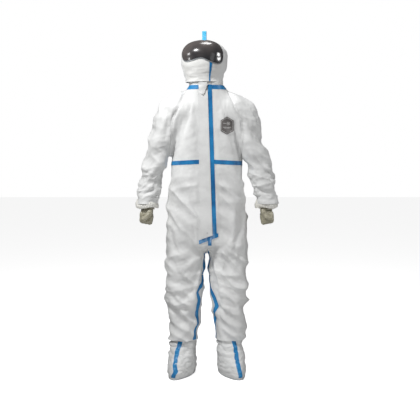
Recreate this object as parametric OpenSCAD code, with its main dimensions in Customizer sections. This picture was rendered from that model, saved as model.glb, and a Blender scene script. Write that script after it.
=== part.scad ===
// Chemical protective suit: a hooded coverall of laminated nonwoven with attached boot covers and gloves.
// It hangs by the loop on its crown, with the front of the suit facing -Y and the wearer's left on +X.
// Every height below is above the soles. The origin is where a hook carries the loop.

/* [Whole suit] */
// Height of the crown of the hood above the soles
suit_h = 1800; // [1790:5:1815]
// Thickness that a fabric panel is modelled at
cloth_t = 2; // [1.2:0.1:2.4]
// Gap left where two panels meet
gap = 0.3; // [0.2:0.05:0.5]
// Width of a seam tape
tape_w = 22; // [16:1:26]
// Thickness of a seam tape
tape_t = 0.6; // [0.4:0.1:0.8]
// How far the torso stands to the wearer's left of the loop
body_shift = 12; // [0:1:15]

/* [Torso] */
// Height of the neck edge
neck_h = 1560; // [1556:1:1562]
// Half the width at the chest
chest_w = 194; // [188:1:198]
// Half the width at the waist
waist_w = 197; // [190:1:204]
// Half the width at the hips
hip_w = 218; // [210:1:222]
// Height of the waist seam
waist_h = 1145; // [1135:1:1155]
// Height of the armpit
armpit_h = 1212; // [1206:1:1216]
// Height of the crotch end of the front panels
crotch_h = 705; // [700:1:712]
// How much higher the leg opening rises at the side than at the crotch
leg_rise = 110; // [90:5:120]
// How square a torso section is, where 2 is an ellipse
torso_round = 2.5; // [2.3:0.1:2.7]

/* [Front closure] */
// Width of the storm flap at the neck
flap_w = 53; // [50:1:56]
// How far the closure line drifts sideways from neck to crotch
flap_drift = 27; // [20:1:30]
// Height of the upper end of the storm flap
flap_top_h = 1534; // [1528:1:1536]
// Height of the lower end of the storm flap at its hinge
flap_end_h = 768; // [764:1:772]
// Clear space between the flap and the front panels
flap_lift = 3.5; // [3.3:0.1:4]
// Width of the zip opening between the front panels
zip_open_w = 24; // [22:1:26]
// Length of the zip slider body
slider_l = 18; // [14:1:20]

/* [Sleeves] */
// Height of the elbow
elbow_h = 1105; // [1100:1:1110]
// Half the height of the soft length at the elbow
elbow_soft = 43; // [40:1:46]
// Height of the lower end of a sleeve
sleeve_end_h = 930; // [925:1:935]
// Height of the wrist
wrist_h = 935; // [932:1:938]
// Half the width of the inner cuff
cuff_w = 37; // [35:1:39]

/* [Legs] */
// Height of the upper edge of a trouser leg
thigh_h = 640; // [635:1:645]
// Height of the knee
knee_h = 455; // [450:1:460]
// Half the height of the soft length at the knee
knee_soft = 60; // [56:1:62]
// Height of a trouser hem
hem_h = 190; // [186:1:194]
// Turn of the feet away from the middle
toe_out = 16; // [10:1:20]
// Thickness of a boot sole
sole_t = 8; // [6:1:9]

/* [Hood] */
// Height of the lower edge of the hood
hood_h = 1604; // [1602:1:1608]
// Turn of the hood towards the wearer's right
hood_turn = 8; // [0:1:10]
// Half the width of the hood
hood_w = 123; // [118:1:126]
// Half the depth of the hood
hood_d = 130; // [124:1:134]
// Half the angle that the visor opening spans
visor_angle = 58; // [54:1:60]
// Height of the lower edge of the visor opening
visor_low_h = 1683; // [1680:1:1686]
// Height of the upper edge of the visor opening
visor_top_h = 1787; // [1785:1:1788]
// Thickness of the visor lens
lens_t = 2.5; // [2:0.1:3]
// Height of the loop above the crown, to where it carries the hook
loop_rise = 48; // [44:1:50]
// Width of the loop's webbing
loop_w = 22; // [18:1:25]

/* [Hidden] */

suit_drop = suit_h + loop_rise;
lift = 0.3;                      // a tape stands this far off its panel
soft_gap = 1;                    // a soft length stops this short of the rigid panels beside it
white = "WhiteSmoke";
blue = "SteelBlue";
armhole_angle = 38;
front_top = -96;                 // y of the front line at the neck
front_slope = 0.0368;            // and how much it comes forward for each mm down
round_turn = [for (a = [0:15:345]) a];

// ---------- numbers and points ----------

function mix(a, b, t) = a * (1 - t) + b * t;
function power(v, p) = sign(v) * pow(abs(v), p);
function quad(a, b, c, d) = [[a, b, c], [a, c, d]];
function middle(ring) = [for (k = [0:2]) [for (p = ring) p[k]] * [for (p = ring) 1] / len(ring)];
function inset(ring, d) = let (m = middle(ring)) [for (p = ring) p + (m - p) * d / norm(m - p)];
function steps(a, b, n) = [for (i = [0:n]) mix(a, b, i / n)];

// A section is [height, centre x, centre y, half width, half depth]. Sections are listed from the top down.
function section(rows, h, i = 0) =
    h >= rows[0][0] ? rows[0] :
    i >= len(rows) - 2 || h >= rows[i + 1][0]
        ? mix(rows[i], rows[i + 1], (rows[i][0] - h) / (rows[i][0] - rows[i + 1][0]))
        : section(rows, h, i + 1);
// A point on a section: angle 0 is +X, 90 is the back and 270 the front.
function on_section(s, angle, off, n) =
    [s[1] + (s[3] + off) * power(cos(angle), 2 / n), s[2] + (s[4] + off) * power(sin(angle), 2 / n), s[0]];
function between(rows, top, low) =
    concat([top], [for (r = rows) if (r[0] < top - 2 && r[0] > low + 2) r[0]], [low]);
function tube_grid(rows, heights, angles, off, n) =
    [for (h = heights) [for (a = angles) on_section(section(rows, h), a, off, n)]];

// ---------- sections of the body ----------

function front_y(h) = front_top - (neck_h - h) * front_slope;
function closure_x(h) = flap_drift * (neck_h - h) / (neck_h - 745);
function hinge_x(h) = 5 + closure_x(h);
function zip_x(h) = -22 + closure_x(h);

torso_plan = [                   // height, half width, y of the back
    [neck_h, 92, 84], [1540, 105, 92], [1500, 126, 103], [1463, 146, 112], [1420, 172, 119], [1372, chest_w, 124],
    [1300, chest_w, 124], [armpit_h, chest_w, 120], [waist_h, waist_w, 112], [1060, 203, 114], [1000, 208, 119],
    [930, 214, 129], [860, hip_w, 137], [787, hip_w + 2, 134], [crotch_h, hip_w + 4, 124]
];
torso_rows = [
    for (r = torso_plan)
        [r[0], 0, (front_y(r[0]) + r[2]) / 2, r[1], (r[2] - front_y(r[0])) / 2]
];
leg_rows = [
    [thigh_h, 113, 6, 103, 113], [600, 113, 3, 104, 109], [520, 113, 0, 102, 102], [knee_h, 114, -2, 102, 98],
    [390, 116, 0, 100, 94], [313, 119, 0, 95, 92], [240, 124, 0, 86, 88], [hem_h, 127, 0, 80, 86]
];
leg_round = 2.2;
boot_rows = [
    [236, 0, 0, 56, 60], [hem_h, 0, 0, 57, 62], [150, 0, -2, 59, 66], [110, 0, -20, 61, 96], [75, 0, -38, 65, 126],
    [40, 0, -42, 68, 142], [sole_t + 8, 0, -42, 67, 141], [sole_t, 0, -42, 62, 136]
];
boot_x = 127;
hood_rows = [
    [suit_h, 0, 0, 8, 10], [suit_h - 2, 0, 0, 28, 34], [suit_h - 10, 0, 0, 60, 68], [visor_top_h, 0, 0, 66, 75],
    [suit_h - 29, 0, 0, hood_w - 27, hood_d - 24], [suit_h - 61, 0, 0, hood_w, hood_d],
    [suit_h - 126, 0, 0, hood_w, hood_d], [suit_h - 158, 0, 0, hood_w - 9, hood_d - 8],
    [hood_h, 0, 0, hood_w - 21, hood_d - 22]
];
hood_round = 2.1;
seam_angle = 284;                // where the two face panels meet
arm_rings = [                    // centre x, height, outer half vector in x and z, half depth
    [269, 1220, 60, 20, 72], [283, 1185, 64, 13, 69], [296, elbow_h + elbow_soft, 65, 4, 66],
    [303, elbow_h, 64, 0, 64], [313, elbow_h - elbow_soft, 62, 0, 62], [323, 1000, 60, 0, 60],
    [325, 952, 60, 0, 59], [324, sleeve_end_h, 57, 0, 56]
];

function front_point(h, x, off) =
    let (s = section(torso_rows, h))
    [x, s[2] - s[4] * pow(1 - pow(abs(x) / s[3], torso_round), 1 / torso_round) - off, h];
function angle_at(h, x) = acos(power(abs(x) / section(torso_rows, h)[3], torso_round / 2));
function arm_ring(r, off = 0) =
    [for (a = round_turn) [
        r[0] + cos(a) * (r[2] + off), sin(a) * (r[4] + off), r[1] + cos(a) * r[3]
    ]];

// ---------- solids ----------

module on_body() translate([body_shift, 0, -suit_drop]) children();
module on_hood() translate([0, 0, -suit_drop]) rotate([0, 0, -hood_turn]) children();

// A thin wall between two grids of points, each a list of rings from the top down.
module wall(outer, inner, looped = false, floor = false) {
    rings = len(outer);
    cols = len(outer[0]);
    n = rings * cols;
    last = looped ? cols - 1 : cols - 2;
    points = concat(
        [for (r = outer) each r], [for (r = inner) each r],
        floor ? [middle(outer[rings - 1]), middle(inner[rings - 1])] : []
    );
    skins = [
        for (r = [0:rings - 2], c = [0:last])
            let (a = r * cols + c, b = r * cols + (c + 1) % cols)
            each concat(quad(a, b, b + cols, a + cols), quad(n + b, n + a, n + a + cols, n + b + cols))
    ];
    rims = [
        for (c = [0:last])
            let (d = (c + 1) % cols, e = n - cols)
            each concat(
                quad(c, n + c, n + d, d),
                floor ? [[e + c, e + d, 2 * n], [n + e + d, n + e + c, 2 * n + 1]]
                      : quad(e + d, n + e + d, n + e + c, e + c)
            )
    ];
    edges = looped ? [] : [
        for (r = [0:rings - 2])
            let (a = r * cols, b = r * cols + cols - 1)
            each concat(quad(n + a, a, a + cols, n + a + cols), quad(b, n + b, n + b + cols, b + cols))
    ];
    polyhedron(points, concat(skins, rims, edges));
}

// A panel of the torso's front, by x at each height.
module front_patch(heights, left, right, off, thick, cols = 6) {
    xs = [for (k = [0:cols]) k / cols];
    wall(
        [for (h = heights) [for (k = xs) front_point(h, mix(left[0] + left[1] * closure_x(h),
            right[0] + right[1] * closure_x(h), k), off + thick)]],
        [for (h = heights) [for (k = xs) front_point(h, mix(left[0] + left[1] * closure_x(h),
            right[0] + right[1] * closure_x(h), k), off)]]
    );
}

// A panel of the torso: at each height, a list of angles.
module torso_panel(heights, angles, off = 0, thick = cloth_t) {
    wall(
        [for (i = [0:len(heights) - 1]) [for (a = angles[i])
            on_section(section(torso_rows, heights[i]), a, off, torso_round)]],
        [for (i = [0:len(heights) - 1]) [for (a = angles[i])
            on_section(section(torso_rows, heights[i]), a, off - thick, torso_round)]]
    );
}

// The lower edge of the torso rises from the crotch to the side, as a brief does.
function leg_line(x) = crotch_h + leg_rise * pow(min(1, abs(x) / hip_w), 1.5);
function lower_point(k, angle, off, n) =
    let (
        x = on_section(section(torso_rows, 800), angle, 0, torso_round)[0],
        h = mix(waist_h - gap, leg_line(x), k)
    ) on_section(section(torso_rows, h), angle, off, torso_round);
module lower_panel(from, to, cols) {
    angles = steps(from, to, cols);
    downs = steps(0, 1, 9);
    wall(
        [for (k = downs) [for (a = angles) lower_point(k, a, 0)]],
        [for (k = downs) [for (a = angles) lower_point(k, a, -cloth_t)]]
    );
}

// ---------- hood ----------

function visor_side(h) = h > visor_top_h ? 270.2 : 270 + visor_angle;
module hood_half() {
    heights = [
        suit_h, suit_h - 2, suit_h - 10, visor_top_h + 0.5, visor_top_h, suit_h - 29, suit_h - 61, suit_h - 126,
        visor_low_h - 15, suit_h - 158, hood_h
    ];
    wall(
        [for (h = heights) [for (a = steps(visor_side(h), 449.8, 11))
            on_section(section(hood_rows, h), a, 0, hood_round)]],
        [for (h = heights) [for (a = steps(visor_side(h), 449.8, 11))
            on_section(section(hood_rows, h), a, -cloth_t, hood_round) - [0, 0, h > suit_h - 12 ? cloth_t : 0]]]
    );
}
module face_panel(from, to) {
    heights = [visor_low_h, suit_h - 126, suit_h - 158, hood_h];
    angles = steps(from, to, 5);
    wall(
        tube_grid(hood_rows, heights, angles, 0, hood_round),
        tube_grid(hood_rows, heights, angles, -cloth_t, hood_round)
    );
}
module hood_patch(heights, angles, off, thick) {
    wall(
        [for (i = [0:len(heights) - 1]) [for (a = angles[i])
            on_section(section(hood_rows, heights[i]), a, off + thick, hood_round)]],
        [for (i = [0:len(heights) - 1]) [for (a = angles[i])
            on_section(section(hood_rows, heights[i]), a, off, hood_round)]]
    );
}
module hood_left() color(white) on_hood() hood_half();
module hood_right() color(white) on_hood() mirror([1, 0, 0]) hood_half();
module face_left() color(white) on_hood() face_panel(seam_angle + 0.2, 270 + visor_angle - 0.3);
module face_right() color(white) on_hood() face_panel(270 - visor_angle + 0.3, seam_angle - 0.2);
module hood_seam_tape() color(blue) on_hood() {
    heights = [visor_low_h - 6, suit_h - 126, suit_h - 158, hood_h];
    spread = [4.4, 4, 3, 2.4];
    hood_patch(heights, [for (s = spread) steps(seam_angle - s, seam_angle + s, 2)], lift, tape_t);
}
gasket_off = [2.8, 4.2];           // the two faces of the gasket, off the hood
module visor() color("DimGray") on_hood() {
    heights = [visor_top_h - 1, suit_h - 29, suit_h - 45, suit_h - 61, suit_h - 90, visor_low_h + 2];
    reach = visor_angle - 2;
    hood_patch(heights, [for (h = heights) steps(270 - reach, 270 + reach, 18)], gasket_off[1] + 0.5, lens_t);
}
// The gasket is a closed band round the visor opening: a ring of four-sided sections.
gasket_steps = [0, 0.4, 1.5, 4, 9, 17, 22.5, 28, 33, 38, 45, 53, 62, 73, 81, 86, 88.5, 89.6];
module visor_gasket() {
    turn = [for (q = [0:90:270], d = gasket_steps) q + d];
    function loop(grow, off) = [
        for (k = turn)
            let (
                u = power(cos(k), 0.5), v = power(sin(k), 0.5),
                h = (visor_top_h + visor_low_h) / 2 + v * ((visor_top_h - visor_low_h) / 2 + grow)
            )
            on_section(section(hood_rows, h), 270 + u * (visor_angle + grow * 0.45), off, hood_round)
    ];
    rings = [
        loop(5, gasket_off[0]), loop(5, gasket_off[1]), loop(-2, gasket_off[1]),
        loop(-9, gasket_off[1]), loop(-9, gasket_off[0]), loop(-2, gasket_off[0])
    ];
    n = len(turn);
    color("LightGray") on_hood() polyhedron(
        [for (r = rings) each r],
        [for (i = [0:5], c = [0:n - 1])
            let (a = i * n + c, b = i * n + (c + 1) % n, e = ((i + 1) % 6) * n)
            each quad(b, a, e + c, e + (c + 1) % n)]
    );
}
module hang_loop() color("DeepSkyBlue") {
    ply = 1.6;
    slot_r = 5;
    foot = loop_rise - 1;
    rotate([0, 0, -hood_turn]) translate([0, 0, -slot_r]) rotate([90, 0, 90])
        linear_extrude(loop_w, center = true) difference() {
            union() {
                circle(slot_r + ply, $fn = 48);
                translate([-slot_r - ply, -foot + slot_r]) square([2 * (slot_r + ply), foot - slot_r]);
            }
            circle(slot_r, $fn = 48);
            translate([-slot_r, -foot + slot_r - 1]) square([2 * slot_r, foot - slot_r + 1]);
        }
}

// ---------- torso ----------

// The collar is the soft length that joins the torso's neck edge to the hood.
module neck_collar() color(white) {
    s = section(torso_rows, neck_h);
    low = [for (a = round_turn) on_section(s, a, 0, torso_round) + [body_shift, 0, soft_gap]];
    high = [for (a = round_turn)
        let (p = on_section(section(hood_rows, hood_h), a, -1, hood_round))
        [p[0], p[1], hood_h - soft_gap]];
    mid = [for (i = [0:len(low) - 1]) mix(low[i], high[i], 0.5)];
    translate([0, 0, -suit_drop])
        wall([high, mid, low], [inset(high, cloth_t), inset(mid, cloth_t), inset(low, cloth_t)], looped = true);
}
raglan_top_h = 1534;
upper_heights = [
    neck_h, 1540, raglan_top_h + 1.5, raglan_top_h + 1, 1500, 1463, 1420, 1372, 1300, armpit_h, armpit_h - 4,
    waist_h + gap
];
function side_angle(h) = h < raglan_top_h + 1.2 && h > armpit_h - 1 ? armhole_angle : 0.3;
module upper_front(edge, side) {     // edge is the side of the zip opening, side is 1 for the wearer's left
    function inner_angle(h) = let (x = zip_x(h) + edge * zip_open_w / 2) x < 0 ? 180 - angle_at(h, x) : angle_at(h, x);
    angles = [for (h = upper_heights)
        side > 0 ? steps(360 - inner_angle(h), 360 - side_angle(h), 10)
                 : steps(180 + side_angle(h), 360 - inner_angle(h), 10)];
    torso_panel(upper_heights, angles);
}
module upper_front_left() color(white) on_body() upper_front(1, 1);
module upper_front_right() color(white) on_body() upper_front(-1, -1);
module upper_back() color(white) on_body()
    torso_panel(upper_heights,
        [for (h = upper_heights) steps(side_angle(h), 180 - side_angle(h), 14)]);
module lower_front(edge, side) {
    downs = steps(0, 1, 9);
    function grid(off) = [for (k = downs) let (h0 = mix(waist_h - gap, crotch_h, k),
            x0 = zip_x(h0) + edge * zip_open_w / 2, a0 = x0 < 0 ? 180 - angle_at(h0, x0) : angle_at(h0, x0))
        [for (a = side > 0 ? steps(360 - a0, 359.7, 10) : steps(180.3, 360 - a0, 10)) lower_point(k, a, off)]];
    wall(grid(0), grid(-cloth_t));
}
module lower_front_left() color(white) on_body() lower_front(1, 1);
module lower_front_right() color(white) on_body() lower_front(-1, -1);
module lower_back() color(white) on_body() lower_panel(0.3, 179.7, 18);

shoulder_top = [257, 1445];
shoulder_pit = [205, armpit_h];
function raglan_point(angle) =
    let (
        mid = (raglan_top_h + armpit_h) / 2,
        h = mid + (raglan_top_h - mid) * power(cos(angle), 0.5),
        s = section(torso_rows, h),
        v = 0.66 * power(sin(angle), 0.5)
    ) [s[3] * pow(1 - pow(abs(v), torso_round), 1 / torso_round), s[2] + s[4] * v, h];
function shoulder_ring() =
    [for (a = round_turn) [
        mix(shoulder_top[0], shoulder_pit[0], (1 - cos(a)) / 2), 90 * sin(a),
        mix(shoulder_top[1], shoulder_pit[1], (1 - cos(a)) / 2)
    ]];
function swell(low, high, up) =
    [for (i = [0:len(low) - 1]) mix(low[i], high[i], 0.5) + [0, 0, up * max(0, cos(round_turn[i]))]];
module tube(rings) wall(rings, [for (r = rings) inset(r, cloth_t)], looped = true);
module shoulder() {
    root = [for (a = round_turn) raglan_point(a)];
    tip = shoulder_ring();
    tube([root, swell(root, tip, 16), tip]);
}
module left_shoulder() color(white) on_body() shoulder();
module right_shoulder() color(white) on_body() mirror([1, 0, 0]) shoulder();

module neck_tape() color(blue) on_body() {
    heights = [neck_h - 0.5, 1540, neck_h - tape_w];
    angles = [for (h = heights) steps(360 - angle_at(h, 29), 540 + angle_at(h, 50), 48)];
    torso_panel(heights, angles, lift + tape_t, tape_t);
}
module waist_tape() color(blue) on_body() {
    heights = [waist_h + tape_w / 2, waist_h, waist_h - tape_w / 2];
    first = hinge_x(waist_h) + tape_w + 2;
    last = -(zip_x(waist_h) - zip_open_w / 2 - 1);
    angles = [for (h = heights) steps(360 - angle_at(h, first), 540 + angle_at(h, last), 72)];
    torso_panel(heights, angles, lift + tape_t, tape_t);
}
module waist_elastic() color("Ivory") on_body()
    torso_panel([waist_h + 26, waist_h + 14, waist_h + 4], [for (i = [0:2]) steps(20, 160, 12)],
        -cloth_t - 2, 1);

// Everything on the zip is straight, in a frame whose z runs up the zip and whose -y faces outwards.
zip_run = [closure_x(745), -(neck_h - 745) * front_slope, 745 - neck_h];
module on_zip(h) {
    up = -zip_run / norm(zip_run);
    on_body() translate([zip_x(h), front_y(h) + 1.2, h]) rotate([-asin(up[1]), atan2(up[0], up[2]), 0]) children();
}
coil_w = 5;
zip_top_h = 1528;
zip_low_h = 778;
module strip(w, l, y, t, x = 0) translate([x - w / 2, y, -l]) cube([w, t, l]);
module zip_tapes() color("Silver") on_zip(zip_top_h) for (s = [-1, 1])
    strip(13, zip_top_h - zip_low_h, 3.9, 1, s * 9.5);
module zip_coil() color("Gainsboro") on_zip(zip_top_h - 4) strip(coil_w, zip_top_h - zip_low_h - 8, -0.2, 4);
module zip_stops() color("Silver") {
    on_zip(zip_top_h) for (s = [-1, 1]) strip(3, 3.4, -0.8, 3, s * 3);
    on_zip(zip_low_h + 3.6) strip(8, 3.4, -0.8, 4.4);
}
module zip_slider() color("Gray") on_zip(zip_top_h - 5) difference() {
    union() {
        strip(coil_w + 3.4, slider_l, -1.7, 3.6);
        strip(3, slider_l - 6, -3.2, 1.6);
        translate([0, 0, -3]) strip(7, 26, -2.9, 1.2);
    }
    translate([0, 0, 1]) strip(coil_w + 0.8, slider_l + 2, -0.6, 6);
}

module flap_seam_tape() color(blue) on_body()
    front_patch(between(torso_rows, flap_top_h, flap_end_h + 15), [5.5, 1], [5 + tape_w, 1], lift, tape_t, 3);
// The bar across the closure's lower end rises towards the wearer's left.
end_slope = 0.38;
module flap_end_tape() {
    xs = steps(-39, 60, 6);
    function row(dh, off) = [for (x = xs) front_point(746 + x * end_slope + dh, x, off)];
    color(blue) on_body() wall([row(10, lift + tape_t), row(-10, lift + tape_t)], [row(10, lift), row(-10, lift)]);
}
module crotch_tape() {
    xs = steps(8, 26, 2);
    function top(x) = 735 + x * end_slope;
    color(blue) on_body() wall([[for (x = xs) front_point(top(x), x, lift + tape_t)], [for (x = xs) front_point(715, x, lift + tape_t)]],
        [[for (x = xs) front_point(top(x), x, lift)], [for (x = xs) front_point(715, x, lift)]]);
}
module chest_badge() {
    middle_x = 108;
    middle_h = 1347;
    half_w = 34;
    half_l = 47;
    shoulder = 20;
    xs = steps(-1, 1, 8);
    function row(k, off) = [for (u = xs)
        front_point(middle_h + k * (half_l - shoulder * abs(u)), middle_x + u * half_w, off)];
    ks = steps(1, -1, 4);
    off = 2 * lift;
    color("DimGray") on_body() wall([for (k = ks) row(k, off + 1)], [for (k = ks) row(k, off)]);
}

// ---------- moving pieces of the closure ----------

module storm_flap() {
    heights = between(torso_rows, flap_top_h - 2, 800);
    tilt = 0.34;
    xs = steps(0, 1, 6);
    function cross(h, off) = [for (k = xs)
        let (x = mix(5 - flap_w + closure_x(h) * 0.52, hinge_x(h) - 0.6, k))
        front_point(h, x, off)];
    function foot(off) = [for (k = xs)
        let (x = mix(-34, hinge_x(flap_end_h) - 0.6, k))
        front_point(flap_end_h + (x - 31) * tilt, x, off)];
    color("White") on_body() wall(
        concat([for (h = heights) cross(h, flap_lift + 1.6)], [foot(flap_lift + 1.6)]),
        concat([for (h = heights) cross(h, flap_lift)], [foot(flap_lift)])
    );
}
module chin_tab() {
    xs = steps(0, 1, 4);
    heights = [neck_h + 4, neck_h, 1540, 1526];
    reach = [[-44, 2], [-44, 1], [-42, -6], [-38, -18]];
    function cross(i, off) = [for (k = xs)
        let (p = front_point(min(heights[i], neck_h), mix(reach[i][0], reach[i][1], k), off)) [p[0], p[1], heights[i]]];
    color("White") on_body() wall([for (i = [0:3]) cross(i, 8)], [for (i = [0:3]) cross(i, 6.4)]);
}

// ---------- sleeves ----------

module shoulder_fold() {
    low = arm_ring(arm_rings[0]);
    high = [for (p = shoulder_ring()) p + [0.8, 0, -0.4]];
    tube([high, [for (i = [0:len(low) - 1])
        mix(high[i], low[i], 0.5) + [8 * max(0, cos(round_turn[i])), 0, 0]], [for (p = low) p + [-0.5, 0, 1]]]);
}
module upper_sleeve() tube([for (i = [0:2]) arm_ring(arm_rings[i])]);
module elbow_fold() tube([
    for (r = [arm_rings[2], arm_rings[3], arm_rings[4]])
        [for (p = arm_ring(r)) [p[0], p[1], p[2] + (r[1] > elbow_h ? -soft_gap : r[1] < elbow_h ? soft_gap : 0)]]
]);
module forearm_sleeve() tube([for (i = [4:7]) arm_ring(arm_rings[i])]);
module cuff_elastic() {
    rows = [[sleeve_end_h + 20, 324.9, 0, 55.5, 54.5], [sleeve_end_h + 4, 324.2, 0, 53.8, 53]];
    wall(tube_grid(rows, [rows[0][0], rows[1][0]], round_turn, 0, 2),
        tube_grid(rows, [rows[0][0], rows[1][0]], round_turn, -1.2, 2), looped = true);
}
hand_x = 323;
module inner_cuff() {
    rows = [[wrist_h + 27, hand_x, 0, cuff_w, cuff_w - 3], [wrist_h - 33, hand_x, 0, cuff_w + 1, cuff_w - 1]];
    heights = [rows[0][0], rows[1][0]];
    wall(tube_grid(rows, heights, round_turn, 0, 2), tube_grid(rows, heights, round_turn, -cloth_t, 2),
        looped = true);
}
// The glove is a hollow fist with the thumb lying across its front.
glove_rows = [
    [924, hand_x, 0, 31, 28], [900, hand_x, -1, 32, 30], [884, hand_x, -4, 40, 42], [860, hand_x, -5, 41, 48],
    [838, hand_x, -5, 38, 46], [824, hand_x, -4, 27, 34], [818, hand_x, -4, 12, 16]
];
function raised(grid, floor_h) = [for (r = grid) [for (p = r) [p[0], p[1], max(p[2], floor_h)]]];
glove_floor = 820.4;
module glove() {
    heights = [for (r = glove_rows) r[0]];
    outer = tube_grid(glove_rows, heights, round_turn, 0, 2.3);
    core = tube_grid(glove_rows, heights, round_turn, -1, 2.3);
    inner = raised(tube_grid(glove_rows, heights, round_turn, -2, 2.3), glove_floor);
    resize([0, 0, 0]) {
        wall(outer, inner, looped = true, floor = true);
        difference() {
            hull() {
                translate([hand_x - 26, -42, 886]) sphere(11, $fn = 16);
                translate([hand_x + 8, -50, 862]) sphere(10, $fn = 16);
            }
            hull() wall(core, inner, looped = true, floor = true);
        }
    }
}

// ---------- legs ----------

leg_top_gap = 7;                 // clear of the torso's lower edge all round
// The upper rim of a leg follows the torso's leg line outside and the crotch inside.
function hip_rim(angle) =
    let (
        side = on_section(section(torso_rows, 790), angle > 90 && angle < 270 ? (angle < 180 ? 90 : 270) : angle, 0,
            torso_round),
        h = leg_line(side[0]) - leg_top_gap,
        p = on_section(section(torso_rows, h), angle > 90 && angle < 270 ? (angle < 180 ? 90 : 270) : angle, 0,
            torso_round),
        inner = [1.2, mix(p[1], 0, angle > 90 && angle < 270 ? 1 - abs(angle - 180) / 90 : 0), crotch_h - leg_top_gap]
    ) angle >= 90 && angle <= 270 ? inner : [max(1.2, p[0]), p[1], h];
module hip_fold() {
    rim = [for (a = round_turn) hip_rim(a)];
    foot = [for (a = round_turn) on_section(section(leg_rows, thigh_h), a, 0, leg_round) + [0, 0, soft_gap]];
    mids = [for (i = [0:len(rim) - 1]) mix(rim[i], foot[i], 0.5)];
    tube([rim, mids, foot]);
}
module leg_tube(top, low) {
    heights = between(leg_rows, top, low);
    wall(tube_grid(leg_rows, heights, round_turn, 0, leg_round),
        tube_grid(leg_rows, heights, round_turn, -cloth_t, leg_round), looped = true);
}
module thigh() leg_tube(thigh_h, knee_h + knee_soft + soft_gap);
module knee_fold() leg_tube(knee_h + knee_soft, knee_h - knee_soft);
module shin() leg_tube(knee_h - knee_soft - soft_gap, hem_h);
module leg_tape() {
    heights = between(leg_rows, knee_h - knee_soft - 2, hem_h + 25);
    angles = steps(186, 200, 2);
    wall(tube_grid(leg_rows, heights, angles, lift + tape_t, leg_round),
        tube_grid(leg_rows, heights, angles, lift, leg_round));
}
module on_foot() translate([boot_x, 0, 0]) rotate([0, 0, toe_out]) children();
module boot() on_foot() {
    heights = [for (r = boot_rows) r[0]];
    wall(tube_grid(boot_rows, heights, round_turn, 0, 2.3),
        raised(tube_grid(boot_rows, heights, round_turn, -cloth_t, 2.3), sole_t + cloth_t), looped = true,
        floor = true);
}
module boot_sole() on_foot() linear_extrude(sole_t)
    polygon([for (a = [0:10:350]) let (p = on_section([0, 0, -42, 66, 141], a, 0, 2.3)) [p[0], p[1]]]);
module boot_tape() on_foot() {
    heights = [for (r = boot_rows) if (r[0] < hem_h + 1 && r[0] > sole_t + 9) r[0]];
    angles = steps(264.5, 275.5, 2);
    wall(tube_grid(boot_rows, heights, angles, lift + tape_t, 2.3), tube_grid(boot_rows, heights, angles, lift, 2.3));
}

// Pieces of a limb are drawn on the wearer's left and mirrored for the right.
module left() on_body() children();
module right() on_body() mirror([1, 0, 0]) children();

hood_left();
hood_right();
face_left();
face_right();
hood_seam_tape();
visor();
visor_gasket();
hang_loop();
neck_collar();
upper_front_left();
upper_front_right();
upper_back();
lower_front_left();
lower_front_right();
lower_back();
left_shoulder();
right_shoulder();
neck_tape();
waist_tape();
waist_elastic();
zip_tapes();
zip_coil();
zip_stops();
flap_seam_tape();
flap_end_tape();
crotch_tape();
chest_badge();
zip_slider();
storm_flap();
chin_tab();
color(white) left() shoulder_fold();  // left_shoulder_fold
color(white) left() upper_sleeve();  // left_upper_sleeve
color(white) left() elbow_fold();  // left_elbow_fold
color(white) left() forearm_sleeve();  // left_forearm_sleeve
color("Ivory") left() cuff_elastic();  // left_cuff_elastic
color("Ivory") left() inner_cuff();  // left_inner_cuff
color("Tan") left() glove();  // left_glove
color(white) right() shoulder_fold();  // right_shoulder_fold
color(white) right() upper_sleeve();  // right_upper_sleeve
color(white) right() elbow_fold();  // right_elbow_fold
color(white) right() forearm_sleeve();  // right_forearm_sleeve
color("Ivory") right() cuff_elastic();  // right_cuff_elastic
color("Ivory") right() inner_cuff();  // right_inner_cuff
color("Tan") right() glove();  // right_glove
color(white) left() hip_fold();  // left_hip_fold
color(white) left() thigh();  // left_thigh
color(white) left() knee_fold();  // left_knee_fold
color(white) left() shin();  // left_shin
color(blue) left() leg_tape();  // left_leg_tape
color(white) left() boot();  // left_boot
color("Silver") left() boot_sole();  // left_boot_sole
color(blue) left() boot_tape();  // left_boot_tape
color(white) right() hip_fold();  // right_hip_fold
color(white) right() thigh();  // right_thigh
color(white) right() knee_fold();  // right_knee_fold
color(white) right() shin();  // right_shin
color(blue) right() leg_tape();  // right_leg_tape
color(white) right() boot();  // right_boot
color("Silver") right() boot_sole();  // right_boot_sole
color(blue) right() boot_tape();  // right_boot_tape
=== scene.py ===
"""A chemical protective coverall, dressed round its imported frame.

One closed skin is lofted from the suit's measures, hung over an inner form by cloth
simulation, creased, and cut along its seams into panels. Tapes, flap, hood, gloves and
boot covers are then laid on or round it. Every length is in metres; heights are given
above the soles and turned into the frame's z by SOLE_Z.
"""
from __future__ import annotations

import itertools
import logging
import math
from collections.abc import Callable, Sequence
from dataclasses import dataclass, field
from enum import Enum

import bmesh
import bpy
import numpy as np
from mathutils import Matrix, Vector
from mathutils.bvhtree import BVHTree

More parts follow.
